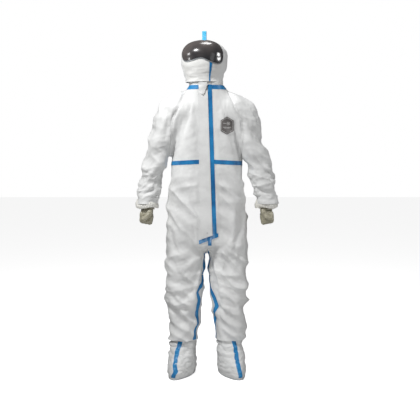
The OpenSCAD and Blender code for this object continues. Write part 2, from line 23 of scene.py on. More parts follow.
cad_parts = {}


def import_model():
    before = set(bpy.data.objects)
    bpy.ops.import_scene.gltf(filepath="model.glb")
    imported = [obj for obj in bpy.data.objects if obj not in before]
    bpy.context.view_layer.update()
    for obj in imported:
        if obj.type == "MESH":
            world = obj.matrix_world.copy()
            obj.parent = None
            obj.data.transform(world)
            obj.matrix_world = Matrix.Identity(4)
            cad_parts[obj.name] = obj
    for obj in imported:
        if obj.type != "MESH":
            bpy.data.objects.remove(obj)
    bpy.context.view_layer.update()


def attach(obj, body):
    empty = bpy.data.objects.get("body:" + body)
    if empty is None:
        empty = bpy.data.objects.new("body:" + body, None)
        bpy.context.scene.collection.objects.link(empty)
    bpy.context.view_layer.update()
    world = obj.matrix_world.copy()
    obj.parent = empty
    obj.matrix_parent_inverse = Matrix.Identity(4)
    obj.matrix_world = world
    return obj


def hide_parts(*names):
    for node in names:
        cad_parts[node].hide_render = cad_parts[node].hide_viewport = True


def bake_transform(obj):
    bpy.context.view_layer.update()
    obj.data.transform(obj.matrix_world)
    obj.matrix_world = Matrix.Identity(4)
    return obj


LOG = logging.getLogger("coverall")
SOLE_Z = -1.848          # the frame's origin is in the hang loop, above the soles
BODY_X = 0.012           # the body's middle plane
AHEAD_Y = -0.6           # in front of the whole suit, where rays towards it start
BACKWARD = np.array([0.0, 1.0, 0.0])
Table = tuple[tuple[float, ...], ...]
Part = tuple[np.ndarray, list[tuple[int, ...]]]
Sheet = tuple[np.ndarray, np.ndarray, list[tuple[int, ...]]]
Field = Callable[[np.ndarray], np.ndarray]
Turning = tuple[str, str, Vector, Vector]


class Slot(Enum):
    """The record's material slots."""

    LAMINATE = "white_laminate"
    TAPE = "blue_tape"
    LENS = "smoked_lens"
    GASKET = "clear_gasket"
    WEBBING = "loop_webbing"
    BADGE = "badge_patch"
    LATEX = "latex"
    KNIT = "knit_cuff"
    ELASTIC = "elastic"
    ZIP_TAPE = "zip_tape"
    COIL = "zip_coil"
    SLIDER = "zip_slider"
    SOLE = "boot_sole"


class Side(Enum):
    """The wearer's left, towards +x, and right."""

    LEFT = 1
    RIGHT = -1

    @property
    def word(self) -> str:
        """The side's name in the names of nodes and bodies."""
        return self.name.lower()


# ---------------------------------------------------------------- numbers and meshes


def power(value: np.ndarray, exponent: float) -> np.ndarray:
    """Raises to a power and keeps the sign."""
    return np.sign(value) * np.abs(value) ** exponent


def ramp(value: np.ndarray, low: float, high: float) -> np.ndarray:
    """Goes smoothly from 0 at low to 1 at high, either way round."""
    t = np.clip((value - low) / (high - low), 0, 1)
    return t * t * (3 - 2 * t)


def along(table: Table, value: np.ndarray, column: int = 1) -> np.ndarray:
    """Reads a column of a table whose first column falls or rises, at some values."""
    rows = sorted(table)
    return np.interp(value, [row[0] for row in rows], [row[column] for row in rows])


def noise(points: np.ndarray, scale: float | Sequence[float], seed: int) -> np.ndarray:
    """Gives smooth gradient noise at some points.

    Args:
        points: Positions, one in a row.
        scale: How many cells of noise there are to a metre, for each axis or for all.
        seed: Picks the noise.

    Returns:
        A value between about -1 and 1 for each point.
    """
    draw = np.random.default_rng(seed)
    order = draw.permutation(256)
    slopes = draw.normal(size=(256, 3))
    slopes /= np.linalg.norm(slopes, axis=1)[:, None]
    place = points * np.asarray(scale) + 37.3
    cell = np.floor(place).astype(int)
    part = place - cell
    fade = part * part * part * (part * (part * 6 - 15) + 10)
    total = np.zeros(len(points))
    for corner in itertools.product((0, 1), repeat=3):
        step = np.array(corner)
        key = order[(cell[:, 0] + step[0]) % 256]
        key = order[(key + cell[:, 1] + step[1]) % 256]
        key = order[(key + cell[:, 2] + step[2]) % 256]
        weight = np.prod(np.where(step == 1, fade, 1 - fade), axis=1)
        total += weight * np.sum(slopes[key] * (part - step), axis=1)
    return total * 1.6


def ridges(points: np.ndarray, scale: float | Sequence[float], seed: int, lift: float = 0.2) -> np.ndarray:
    """Gives folded noise, with sharp ridges where it passes zero.

    Args:
        points: Positions, one in a row.
        scale: How many cells of noise there are to a metre, for each axis or for all.
        seed: Picks the noise.
        lift: The height of the ridges above zero.

    Returns:
        A value for each point, at most lift.
    """
    return -np.abs(noise(points, scale, seed)) + lift


def spin_z(degrees: float) -> np.ndarray:
    """Gives the matrix of a turn about the upright axis."""
    angle = math.radians(degrees)
    return np.array(
        [[math.cos(angle), -math.sin(angle), 0], [math.sin(angle), math.cos(angle), 0], [0, 0, 1]]
    )


def oval(
    x: float, y: float, height: float, half_w: float, half_d: float, roundness: float, count: int
) -> np.ndarray:
    """Gives one level ring of points, a rounded oblong.

    Args:
        x: Its centre across.
        y: Its centre in depth.
        height: Its height above the soles.
        half_w: Half its width.
        half_d: Half its depth.
        roundness: 2 for an ellipse, more for squarer.
        count: How many points it has.

    Returns:
        The points, one in a row.
    """
    turn = np.linspace(0, 2 * np.pi, count, endpoint=False)
    return np.stack(
        [
            x + half_w * power(np.cos(turn), 2 / roundness),
            y + half_d * power(np.sin(turn), 2 / roundness),
            np.full(count, height + SOLE_Z),
        ],
        axis=1,
    )


def loft(rings: Sequence[np.ndarray]) -> Part:
    """Joins rings of equal length into a tube.

    Args:
        rings: The rings in order. The first and the last are closed with a face.

    Returns:
        The points and the faces.
    """
    count = len(rings[0])
    faces = grid_faces(len(rings), count, looped=True)
    faces.append(tuple(range(count)))
    faces.append(tuple(range(len(rings) * count - 1, (len(rings) - 1) * count - 1, -1)))
    return np.concatenate(rings), faces


def grid_faces(rows: int, cols: int, looped: bool = False) -> list[tuple[int, ...]]:
    """Gives the faces of a grid of points, row after row.

    Args:
        rows: How many rows of points there are.
        cols: How many points a row has.
        looped: Whether each row closes on itself.

    Returns:
        The faces.
    """
    last = cols if looped else cols - 1
    return [
        (r * cols + c, (r + 1) * cols + c, (r + 1) * cols + (c + 1) % cols, r * cols + (c + 1) % cols)
        for r in range(rows - 1)
        for c in range(last)
    ]


def joined(parts: Sequence[Part]) -> Part:
    """Puts the points and faces of several parts together.

    Args:
        parts: The points and the faces of each part.

    Returns:
        All points and all faces, as of one mesh.
    """
    points: list[np.ndarray] = []
    faces: list[tuple[int, ...]] = []
    offset = 0
    for part_points, part_faces in parts:
        points.append(part_points)
        faces += [tuple(i + offset for i in face) for face in part_faces]
        offset += len(part_points)
    return np.concatenate(points), faces


def new_mesh(name: str, points: np.ndarray, faces: Sequence[tuple[int, ...]]) -> bpy.types.Object:
    """Makes a smooth mesh object at the origin.

    Args:
        name: The object's name.
        points: Its points, one in a row.
        faces: Its faces, as numbers of points.

    Returns:
        The object.
    """
    mesh = bpy.data.meshes.new(name)
    mesh.from_pydata(np.asarray(points).tolist(), [], [tuple(int(i) for i in f) for f in faces])
    mesh.update()
    mesh.shade_smooth()
    piece = bpy.data.objects.new(name, mesh)
    bpy.context.scene.collection.objects.link(piece)
    return piece


def outward(piece: bpy.types.Object) -> bpy.types.Object:
    """Turns the faces of a closed mesh outwards, once its doubles are merged.

    Args:
        piece: The closed mesh object.

    Returns:
        The piece.
    """
    shape = bmesh.new()
    shape.from_mesh(piece.data)
    bmesh.ops.remove_doubles(shape, verts=shape.verts, dist=1e-6)
    bmesh.ops.recalc_face_normals(shape, faces=shape.faces)
    shape.to_mesh(piece.data)
    shape.free()
    return piece


def settled(piece: bpy.types.Object) -> bpy.types.Object:
    """Replaces a piece's mesh by what its modifiers make of it.

    Args:
        piece: The mesh object, whose modifiers are removed.

    Returns:
        The piece.
    """
    graph = bpy.context.evaluated_depsgraph_get()
    mesh = bpy.data.meshes.new_from_object(piece.evaluated_get(graph))
    piece.modifiers.clear()
    piece.data = mesh
    mesh.shade_smooth()
    return piece


def melted(piece: bpy.types.Object, voxel: float, passes: int) -> bpy.types.Object:
    """Melts crossing closed parts into one smooth closed form.

    Args:
        piece: The parts as one mesh.
        voxel: The size of the steps in which the form is rebuilt.
        passes: How many times it is smoothed.

    Returns:
        The piece.
    """
    outward(piece)
    melt = piece.modifiers.new("melt", "REMESH")
    melt.mode = "VOXEL"
    melt.voxel_size = voxel
    ease = piece.modifiers.new("ease", "SMOOTH")
    ease.factor = 0.5
    ease.iterations = passes
    return settled(piece)


def keep_rest(mesh: bpy.types.Mesh, rest: np.ndarray) -> None:
    """Keeps each point's place before draping and its smooth normal with a mesh.

    Args:
        mesh: The mesh, in its final shape.
        rest: The places before draping, one in a row.
    """
    for name, values in (("rest", rest), ("upright", point_normals(mesh))):
        layer = mesh.attributes.new(name, "FLOAT_VECTOR", "POINT")
        layer.data.foreach_set("vector", values.ravel())


def positions(mesh: bpy.types.Mesh) -> np.ndarray:
    """Gives a mesh's points, one in a row."""
    flat = np.empty(len(mesh.vertices) * 3)
    mesh.vertices.foreach_get("co", flat)
    return flat.reshape(-1, 3)


def point_normals(mesh: bpy.types.Mesh) -> np.ndarray:
    """Gives a mesh's smooth normals, one in a row."""
    flat = np.empty(len(mesh.vertices) * 3)
    mesh.vertices.foreach_get("normal", flat)
    return flat.reshape(-1, 3)


def move_points(mesh: bpy.types.Mesh, points: np.ndarray) -> None:
    """Gives a mesh new positions."""
    mesh.vertices.foreach_set("co", points.ravel())
    mesh.update()


def subdivide(piece: bpy.types.Object, levels: int) -> bpy.types.Object:
    """Subdivides a piece smoothly, for good.

    Args:
        piece: The mesh object.
        levels: How many times it is subdivided.

    Returns:
        The piece.
    """
    finer = piece.modifiers.new("finer", "SUBSURF")
    finer.levels = finer.render_levels = levels
    return settled(piece)


def shell(name: str, sheet: Sheet, out: float, inward: float) -> bpy.types.Object:
    """Gives a sheet a thickness, with its smooth shading kept to the very edge.

    Args:
        name: The piece's name.
        sheet: Its points, its normals and its faces.
        out: How far the outer skin stands off the sheet.
        inward: How far the inner skin lies under it, negative to stand off too.

    Returns:
        The closed piece.
    """
    points, normals, faces = sheet
    count = len(points)
    once: dict[tuple[int, int], bool] = {}
    for face in faces:
        for a, b in zip(face, face[1:] + face[:1]):
            once[(a, b)] = (b, a) not in once
            if not once[(a, b)]:
                once[(b, a)] = False
    rims = [(b, a, a + count, b + count) for (a, b), single in once.items() if single]
    inner = [tuple(i + count for i in reversed(face)) for face in faces]
    piece = new_mesh(
        name,
        np.concatenate([points + normals * out, points - normals * inward]),
        [*faces, *inner, *rims],
    )
    piece.data.normals_split_custom_set_from_vertices(np.concatenate([normals, -normals]).tolist())
    return piece


def grid_normals(points: np.ndarray, rows: int, cols: int, looped: bool = False) -> np.ndarray:
    """Gives the smooth normals of a grid of points, on the side that grid_faces shows.

    Args:
        points: The grid's points, one in a row.
        rows: How many rows it has.
        cols: How many points a row has.
        looped: Whether each row closes on itself.

    Returns:
        A unit vector for each point.
    """
    grid = points.reshape(rows, cols, 3)
    down = np.gradient(grid, axis=0)
    if looped:
        aside = (np.roll(grid, -1, axis=1) - np.roll(grid, 1, axis=1)) / 2
    else:
        aside = np.gradient(grid, axis=1)
    normal = np.cross(down, aside).reshape(-1, 3)
    return normal / np.maximum(np.linalg.norm(normal, axis=1), 1e-12)[:, None]


def grid_shell(
    name: str, grid: np.ndarray, out: float, inward: float, looped: bool = False
) -> bpy.types.Object:
    """Makes a thin piece from a grid of points, rows by columns by 3.

    Args:
        name: The piece's name.
        grid: The points.
        out: How far the outer skin stands off them.
        inward: How far the inner skin lies under them.
        looped: Whether each row closes on itself.

    Returns:
        The closed piece.
    """
    rows, cols = grid.shape[:2]
    points = grid.reshape(-1, 3)
    sheet = (points, grid_normals(points, rows, cols, looped), grid_faces(rows, cols, looped))
    return shell(name, sheet, out, inward)


def cast(tree: BVHTree, origins: np.ndarray, aims: np.ndarray, reach: float = 2.0) -> np.ndarray:
    """Finds where rays meet a surface.

    Args:
        tree: The surface.
        origins: A grid of starting points, rows by columns by 3.
        aims: The rays' directions, of the same shape.
        reach: How far they go.

    Returns:
        The grid of points met. A ray that misses takes the nearest point of its row.
    """
    rows, cols = origins.shape[:2]
    met = np.full((rows, cols, 3), np.nan)
    for r in range(rows):
        for c in range(cols):
            hit = tree.ray_cast(Vector(origins[r, c]), Vector(aims[r, c]), reach)[0]
            if hit is not None:
                met[r, c] = hit
        good = ~np.isnan(met[r, :, 0])
        if good.any():
            for k in range(3):
                met[r, :, k] = np.interp(np.arange(cols), np.nonzero(good)[0], met[r, good, k])
    good = ~np.isnan(met[:, 0, 0])
    for c in range(cols):
        for k in range(3):
            met[:, c, k] = np.interp(np.arange(rows), np.nonzero(good)[0], met[good, c, k])
    return met


def eased(grid: np.ndarray, passes: int) -> np.ndarray:
    """Smooths a grid of points down its length, and keeps its two ends.

    Args:
        grid: The points, one row after another. It is changed in place.
        passes: How many times each row moves towards its two neighbours.

    Returns:
        The grid.
    """
    for _ in range(passes):
        grid[1:-1] = (grid[:-2] + 2 * grid[1:-1] + grid[2:]) / 4
    return grid


def dress(
    piece: bpy.types.Object,
    material: bpy.types.Material,
    slot: Slot,
    body: str | Turning,
    *nodes: str,
) -> bpy.types.Object:
    """Gives a piece its material, hangs it on its body when it rides on one, and hides the CAD nodes that it
    stands for.

    Args:
        piece: The finished piece.
        material: Its material.
        slot: The record's slot of that material; not used.
        body: The body it rides on, or two bodies and the points between which it turns
            from one to the other.
        *nodes: The CAD nodes that it replaces.

    Returns:
        The piece.
    """
    piece.data.materials.clear()
    piece.data.materials.append(material)
    if isinstance(body, str):
        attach(piece, body)
    else:
        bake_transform(piece)
    if nodes:
        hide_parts(*nodes)
    where = body if isinstance(body, str) else body[:2]
    LOG.info("%s: %d faces on %s", piece.name, len(piece.data.polygons), where)
    return piece


def turning_at(first: str, second: str, x: float, heights: tuple[float, float]) -> Turning:
    """Gives the way in which a piece turns from one body to another down an upright line.

    Args:
        first: The body of its upper end.
        second: The body of its lower end.
        x: Where the line stands.
        heights: Where the turning starts and ends.

    Returns:
        The two bodies and the points between which it turns.
    """
    start, end = (Vector((x, 0, height + SOLE_Z)) for height in heights)
    return first, second, start, end


# ---------------------------------------------------------------- the draped skin


class Skin:
    """A cut surface from which parts are taken by where they lay before draping."""

    def __init__(self, mesh: bpy.types.Mesh) -> None:
        """Reads the mesh once.

        Args:
            mesh: The mesh, with the layers that keep_rest writes.
        """
        self.points = positions(mesh)
        self.normals = self.layer(mesh, "upright")
        self.corners = self.numbers(mesh.loops, "vertex_index")
        self.starts = self.numbers(mesh.polygons, "loop_start")
        self.totals = self.numbers(mesh.polygons, "loop_total")
        rest = self.layer(mesh, "rest")
        self.middles = np.add.reduceat(rest[self.corners], self.starts, axis=0) / self.totals[:, None]

    @staticmethod
    def layer(mesh: bpy.types.Mesh, name: str) -> np.ndarray:
        """Reads a layer of vectors, one in a row."""
        flat = np.empty(len(mesh.vertices) * 3)
        mesh.attributes[name].data.foreach_get("vector", flat)
        return flat.reshape(-1, 3)

    @staticmethod
    def numbers(items: bpy.types.bpy_prop_collection, name: str) -> np.ndarray:
        """Reads one whole number of each item."""
        flat = np.empty(len(items), dtype=int)
        items.foreach_get(name, flat)
        return flat

    def sheet(self, pick: Field) -> Sheet:
        """Takes part of the surface.

        Args:
            pick: Tells which faces, by their middles before draping.

        Returns:
            The points, the smooth normals and the faces of that part.
        """
        chosen = np.nonzero(pick(self.middles))[0]
        faces = [self.corners[self.starts[i] : self.starts[i] + self.totals[i]] for i in chosen]
        used, back = np.unique(np.concatenate(faces), return_inverse=True)
        cuts = np.cumsum([len(f) for f in faces])[:-1]
        return self.points[used], self.normals[used], [tuple(f.tolist()) for f in np.split(back, cuts)]


@dataclass
class Cutter:
    """Cuts a mesh along the zero lines of fields over its points before draping.

    Attributes:
        shape: The mesh, with a layer "rest" of the points before draping and a layer
            "upright" of its smooth normals.
        snap: A point whose field is nearer to zero than this counts as on the line.
    """

    shape: bmesh.types.BMesh
    snap: float = 0.0005

    def cut(
        self,
        level: Field,
        where: Field | None = None,
    ) -> None:
        """Splits the faces along a field's zero line.

        Args:
            level: Gives the field at some points.
            where: Tells at which middles of edges the line counts, everywhere if None.
        """
        shape = self.shape
        rest = shape.verts.layers.float_vector["rest"]
        upright = shape.verts.layers.float_vector["upright"]
        shape.verts.index_update()
        shape.edges.ensure_lookup_table()
        points = np.array([v[rest][:] for v in shape.verts])
        value = level(points)
        value[np.abs(value) < self.snap] = 0
        ends = np.array([(e.verts[0].index, e.verts[1].index) for e in shape.edges])
        crossed = value[ends[:, 0]] * value[ends[:, 1]] < 0
        on_line = value == 0
        if where is not None:
            crossed &= where((points[ends[:, 0]] + points[ends[:, 1]]) / 2)
            on_line &= where(points)
        shape.verts.ensure_lookup_table()
        zero = {shape.verts[i] for i in np.nonzero(on_line)[0]}
        for edge in [shape.edges[i] for i in np.nonzero(crossed)[0]]:
            start, end = edge.verts
            a, b = value[start.index], value[end.index]
            t = float(a / (a - b))
            place, normal = start[rest].lerp(end[rest], t), start[upright].lerp(end[upright], t)
            point = bmesh.utils.edge_split(edge, start, t)[1]
            point[rest], point[upright] = place, normal.normalized()
            zero.add(point)
        faces = {f for v in zero for f in v.link_faces}
        for face in faces:
            spots = [v for v in face.verts if v in zero]
            if len(spots) != 2:
                continue
            if not any(edge.other_vert(spots[0]) is spots[1] for edge in spots[0].link_edges):
                bmesh.utils.face_split(face, spots[0], spots[1])


@dataclass
class Coverall:
    """The suit's body: torso, sleeves and legs, sewn from one laminate.

    Attributes:
        torso: Height, half width and y of the back, from the neck down.
        leg: Height, x, y, half width and half depth of a leg, from the crotch down.
        sleeve: x, height, the outer half vector in x and z, and half depth.
        raglan: Height and distance from the middle of the raglan line.
        roundness: 2 for an elliptic torso, more for squarer.
        front_top: y of the front line at the neck.
        front_slope: How far the front line moves for each metre down.
        neck: Height of the neck seam, and so on for waist, crotch, knee seam and hems.
        cloth: The laminate's thickness.
        tape_w: The width of the seam tapes.
        voxel: The size of the steps in which the skin is rebuilt.
        frames: How long the cloth hangs.
        most_moved: The furthest that hanging may move a point.
        shoulder_at: A point in the sleeve's opening: aside and height.
        shoulder_aim: Which way the upper sleeve runs from it: aside and up.
        hip_aim: Which way the leg runs from the crotch: aside and up.
        skin: The cut skin.
        tree: The same surface for rays.
        material: The laminate.
        tape: The seam tapes' material.
    """

    torso: Table = (
        (1.585, 0.085, 0.082), (1.56, 0.092, 0.084), (1.54, 0.106, 0.092), (1.50, 0.128, 0.103),
        (1.463, 0.148, 0.112), (1.42, 0.172, 0.119), (1.372, 0.190, 0.124), (1.30, 0.193, 0.124),
        (1.212, 0.192, 0.120), (1.145, 0.195, 0.112), (1.06, 0.202, 0.114), (1.0, 0.208, 0.119),
        (0.93, 0.214, 0.129), (0.86, 0.218, 0.137), (0.787, 0.220, 0.134), (0.74, 0.216, 0.128),
        (0.712, 0.165, 0.104),
    )
    leg: Table = (
        (0.80, 0.108, 0.0, 0.100, 0.118), (0.72, 0.113, 0.002, 0.104, 0.116),
        (0.64, 0.115, 0.004, 0.105, 0.113), (0.60, 0.115, 0.003, 0.104, 0.109),
        (0.52, 0.116, 0.0, 0.100, 0.102), (0.455, 0.117, -0.002, 0.099, 0.098),
        (0.39, 0.119, 0.0, 0.098, 0.094), (0.313, 0.121, 0.0, 0.093, 0.092),
        (0.24, 0.125, 0.0, 0.086, 0.088), (0.19, 0.127, 0.0, 0.081, 0.086), (0.16, 0.128, 0.0, 0.079, 0.084),
    )
    sleeve: Table = (
        (0.100, 1.430, -0.010, 0.108, 0.095), (0.165, 1.410, 0.020, 0.106, 0.097),
        (0.205, 1.372, 0.045, 0.103, 0.094), (0.228, 1.325, 0.052, 0.082, 0.088),
        (0.250, 1.268, 0.062, 0.045, 0.080), (0.269, 1.220, 0.063, 0.022, 0.073),
        (0.283, 1.185, 0.065, 0.013, 0.069), (0.296, 1.148, 0.066, 0.004, 0.066),
        (0.304, 1.105, 0.066, 0.0, 0.064), (0.313, 1.062, 0.064, 0.0, 0.062),
        (0.322, 1.000, 0.061, 0.0, 0.060), (0.324, 0.952, 0.059, 0.0, 0.058),
        (0.323, 0.930, 0.058, 0.0, 0.057), (0.322, 0.905, 0.058, 0.0, 0.056),
    )
    raglan: Table = (
        (1.60, 0.092), (1.56, 0.098), (1.463, 0.146), (1.372, 0.190), (1.25, 0.202), (1.205, 0.204),
        (1.15, 0.213), (1.10, 0.222), (1.0, 0.236), (0.88, 0.245),
    )
    roundness: float = 2.5
    front_top: float = -0.096
    front_slope: float = 0.0368
    neck: float = 1.56
    waist: float = 1.145
    crotch: float = 0.705
    knee: float = 0.545
    hem: float = 0.19
    sleeve_end: float = 0.93
    cloth: float = 0.0007
    tape_w: float = 0.022
    voxel: float = 0.0092
    frames: int = 20
    most_moved: float = 0.045
    shoulder_at: tuple[float, float] = (0.2, 1.212)
    shoulder_aim: tuple[float, float] = (0.7507, -0.6606)
    hip_aim: tuple[float, float] = (0.45, -0.893)
    skin: Skin = field(init=False)
    tree: BVHTree = field(init=False)
    material: bpy.types.Material = field(init=False)
    tape: bpy.types.Material = field(init=False)

    # ----- measures at points before draping

    def front(self, height: np.ndarray | float) -> np.ndarray | float:
        """Gives the y of the front line."""
        return self.front_top - (self.neck - height) * self.front_slope

    def middle(self, height: np.ndarray) -> np.ndarray:
        """Gives the y of the side seams."""
        return (self.front(height) + along(self.torso, height, 2)) / 2

    @staticmethod
    def drift(height: np.ndarray | float) -> np.ndarray | float:
        """Gives how far the closure has drifted to the wearer's left."""
        return 0.027 * (1.56 - height) / 0.815

    @staticmethod
    def height(points: np.ndarray) -> np.ndarray:
        """Gives heights above the soles."""
        return points[:, 2] - SOLE_Z

    @staticmethod
    def aside(points: np.ndarray) -> np.ndarray:
        """Gives distances from the body's middle plane, to the wearer's left."""
        return points[:, 0] - BODY_X

    def past_raglan(self, points: np.ndarray) -> np.ndarray:
        """Is above zero on the sleeves."""
        return np.abs(self.aside(points)) - along(self.raglan, self.height(points))

    def past_shoulder(self, points: np.ndarray) -> np.ndarray:
        """Is above zero on the lower piece of a sleeve."""
        a, b = self.shoulder_aim
        x, height = self.shoulder_at
        return (np.abs(self.aside(points)) - x) * a + (self.height(points) - height) * b - 0.083

    def past_hip(self, points: np.ndarray) -> np.ndarray:
        """Is above zero on the legs."""
        a, b = self.hip_aim
        return np.abs(self.aside(points)) * a + (self.height(points) - self.crotch) * b

    def waist_line(self, points: np.ndarray) -> np.ndarray:
        """Gives the height above the waist seam, which rises a little to the front."""
        rise = np.clip(-points[:, 1] / 0.1, -1, 1) * (1 - np.minimum(np.abs(self.aside(points)) / 0.2, 1))
        return self.height(points) - (self.waist + 0.005 + 0.010 * rise)

    # ----- the skin

    def tubes(self, less: Callable[[float, str], float]) -> list[Part]:
        """Lofts the torso, the sleeves and the legs.

        Args:
            less: How much smaller than the suit the tube is, by height and part.

        Returns:
            The points and faces of each tube.
        """
        rows = []
        for height, half_w, back in self.torso:
            less_by, front = less(height, "torso"), float(self.front(height))
            rows.append(
                oval(
                    BODY_X, (front + back) / 2, height, half_w - less_by, (back - front) / 2 - less_by,
                    self.roundness, 48,
                )
            )
        tubes = [loft(rows)]
        turn = np.linspace(0, 2 * np.pi, 40, endpoint=False)
        for side in Side:
            k = side.value
            rows = []
            for height, x, y, half_w, half_d in self.leg:
                less_by = less(height, "leg")
                rows.append(oval(BODY_X + k * x, y, height, half_w - less_by, half_d - less_by, 2.2, 48))
            tubes.append(loft(rows))
            rows = []
            for x, height, out_x, out_z, half_d in self.sleeve:
                size = math.hypot(out_x, out_z)
                less_by = less(height, "sleeve")
                scale = (size - less_by) / size
                rows.append(
                    np.stack(
                        [
                            BODY_X + k * (x + np.cos(turn) * out_x * scale),
                            np.sin(turn) * (half_d - less_by),
                            height + SOLE_Z + np.cos(turn) * out_z * scale,
                        ],
                        axis=1,
                    )
                )
            tubes.append(loft(rows))
        return tubes

    def solid(
        self, name: str, voxel: float, passes: int, less: Callable[[float, str], float]
    ) -> bpy.types.Object:
        """Melts the tubes into one smooth closed form.

        Args:
            name: The form's name.
            voxel: The size of the steps in which it is rebuilt.
            passes: How many times it is smoothed.
            less: How much smaller than the suit it is, by height and part.

        Returns:
            The form.
        """
        return melted(new_mesh(name, *joined(self.tubes(less))), voxel, passes)

    def slack(self, points: np.ndarray) -> np.ndarray:
        """Gives where the points would be if the cloth lay flat: longer and wider than the form.

        The sleeves and legs are cut longer than they hang, so that they crease across.

        Args:
            points: The points before draping.

        Returns:
            Their places in the flat cloth.
        """
        height, aside = self.height(points), self.aside(points)
        arm = (np.abs(aside) > along(self.raglan, height)) & (height < 1.215)
        leg = (height < 0.70) & ~arm
        flat = points.copy()
        flat[:, 0] = BODY_X + aside * 1.03
        flat[:, 1] *= 1.03
        drop = 0.045 * np.clip(1.50 - height, 0, None)
        drop = drop + np.where(arm, 0.10 * np.clip(1.20 - height, 0, None), 0)
        drop = drop + np.where(leg, 0.05 * np.clip(0.70 - height, 0, None), 0)
        knee = 0.07 * np.clip(0.56 - height, 0, 0.20)
        drop = drop + np.where(leg, knee, 0)
        flat[:, 2] -= drop
        arm_x = np.sign(aside) * along(tuple((row[1], row[0]) for row in self.sleeve), height)
        leg_x = np.sign(aside) * along(self.leg, height)
        wide_arm = 0.07 * ramp(height, 1.20, 1.12)
        wide_leg = 0.06 * ramp(height, 0.70, 0.60)
        wide_x = np.where(arm, (aside - arm_x) * wide_arm, 0) + np.where(leg, (aside - leg_x) * wide_leg, 0)
        flat[:, 0] += wide_x
        flat[:, 1] += np.where(arm, points[:, 1] * wide_arm, 0) + np.where(leg, points[:, 1] * wide_leg, 0)
        return flat

    def held(self, points: np.ndarray) -> np.ndarray:
        """Gives how firmly each point is held: at neck, wrists and hems, and along the closure.

        Args:
            points: The points before draping.

        Returns:
            A weight from 0, free, to 1, fixed.
        """
        height, aside = self.height(points), self.aside(points)
        arm = (np.abs(aside) > 0.21) & (height < 1.2)
        leg = (height < 0.75) & ~arm
        hold = np.clip((height - 1.50) / 0.05, 0, 1)
        hold = np.maximum(hold, np.where(arm, np.clip((0.950 - height) / 0.02, 0, 1), 0))
        hold = np.maximum(hold, np.where(leg, np.clip((0.212 - height) / 0.03, 0, 1), 0))
        strip = ramp(np.abs(aside - self.drift(height) + 0.01), 0.065, 0.035) * ramp(height, 0.76, 0.84)
        hold = np.maximum(hold, np.where((points[:, 1] < 0) & (height < 1.56), 0.5 * strip, 0))
        tape = ramp(np.abs(self.waist_line(points)), 0.02, 0.008)
        return np.maximum(hold, np.where(arm, 0, 0.25 * tape))

    @staticmethod
    def weigh(piece: bpy.types.Object, name: str, weights: np.ndarray) -> None:
        """Gives a piece a vertex group, in steps of a twentieth.

        Args:
            piece: The mesh object.
            name: The group's name.
            weights: A weight for each point.
        """
        group = piece.vertex_groups.new(name=name)
        steps = np.round(weights * 20) / 20
        for weight in np.unique(steps):
            if weight > 0:
                group.add(np.nonzero(steps == weight)[0].tolist(), float(weight), "REPLACE")

    def hang(self, skin: bpy.types.Object) -> np.ndarray:
        """Hangs the skin over an inner form, and gives its points once it has settled.

        Args:
            skin: The closed skin.

        Returns:
            Its points once it has settled.
        """
        points = positions(skin.data)

        def thinner(height: float, part: str) -> float:
            """Keeps the form close under the shoulders and well inside elsewhere."""
            if part == "leg":
                return 0.022
            return 0.006 + 0.016 * float(ramp(np.array(height), 1.44, 1.30))

        form = self.solid("form", 0.016, 6, thinner)
        corners = np.array(list(itertools.product((-0.002, 0.002), (-0.12, 0.12), (0.15, 0.69))))
        wall = new_mesh(
            "wall",
            corners + np.array([BODY_X, 0, SOLE_Z]),
            [(0, 1, 3, 2), (4, 6, 7, 5), (0, 4, 5, 1), (2, 3, 7, 6), (0, 2, 6, 4), (1, 5, 7, 3)],
        )
        for solid in (form, wall):
            solid.modifiers.new("solid", "COLLISION")
            solid.collision.thickness_outer = 0.003
            solid.collision.cloth_friction = 10
        self.weigh(skin, "held", self.held(points))
        skin.shape_key_add(name="hung")
        flat = skin.shape_key_add(name="flat")
        flat.data.foreach_set("co", self.slack(points).ravel())
        cloth = skin.modifiers.new("cloth", "CLOTH")
        settings = cloth.settings
        settings.quality = 5
        settings.mass = 0.2
        settings.air_damping = 2
        settings.tension_stiffness = settings.compression_stiffness = 30
        settings.shear_stiffness = 15
        settings.bending_stiffness = 1.5
        settings.tension_damping = settings.compression_damping = settings.shear_damping = 8
        settings.bending_damping = 0.8
        settings.vertex_group_mass = "held"
        settings.pin_stiffness = 1
        settings.rest_shape_key = flat
        settings.effector_weights.gravity = 0.45
        cloth.collision_settings.distance_min = 0.004
        cloth.collision_settings.collision_quality = 2
        cloth.collision_settings.use_self_collision = False
        cloth.point_cache.frame_start = 1
        cloth.point_cache.frame_end = self.frames
        scene = bpy.context.scene
        scene.frame_end = self.frames
        for frame in range(1, self.frames + 1):
            scene.frame_set(frame)
        graph = bpy.context.evaluated_depsgraph_get()
        mesh = bpy.data.meshes.new_from_object(skin.evaluated_get(graph))
        hung = positions(mesh)
        for solid in (form, wall):
            bpy.data.objects.remove(solid)
        scene.frame_set(1)
        moved = hung - points
        far = np.linalg.norm(moved, axis=1)
        LOG.info("cloth moved %.3f on average, %.3f at most", far.mean(), far.max())
        return points + moved * np.minimum(1, self.most_moved / np.maximum(far, 1e-9))[:, None]

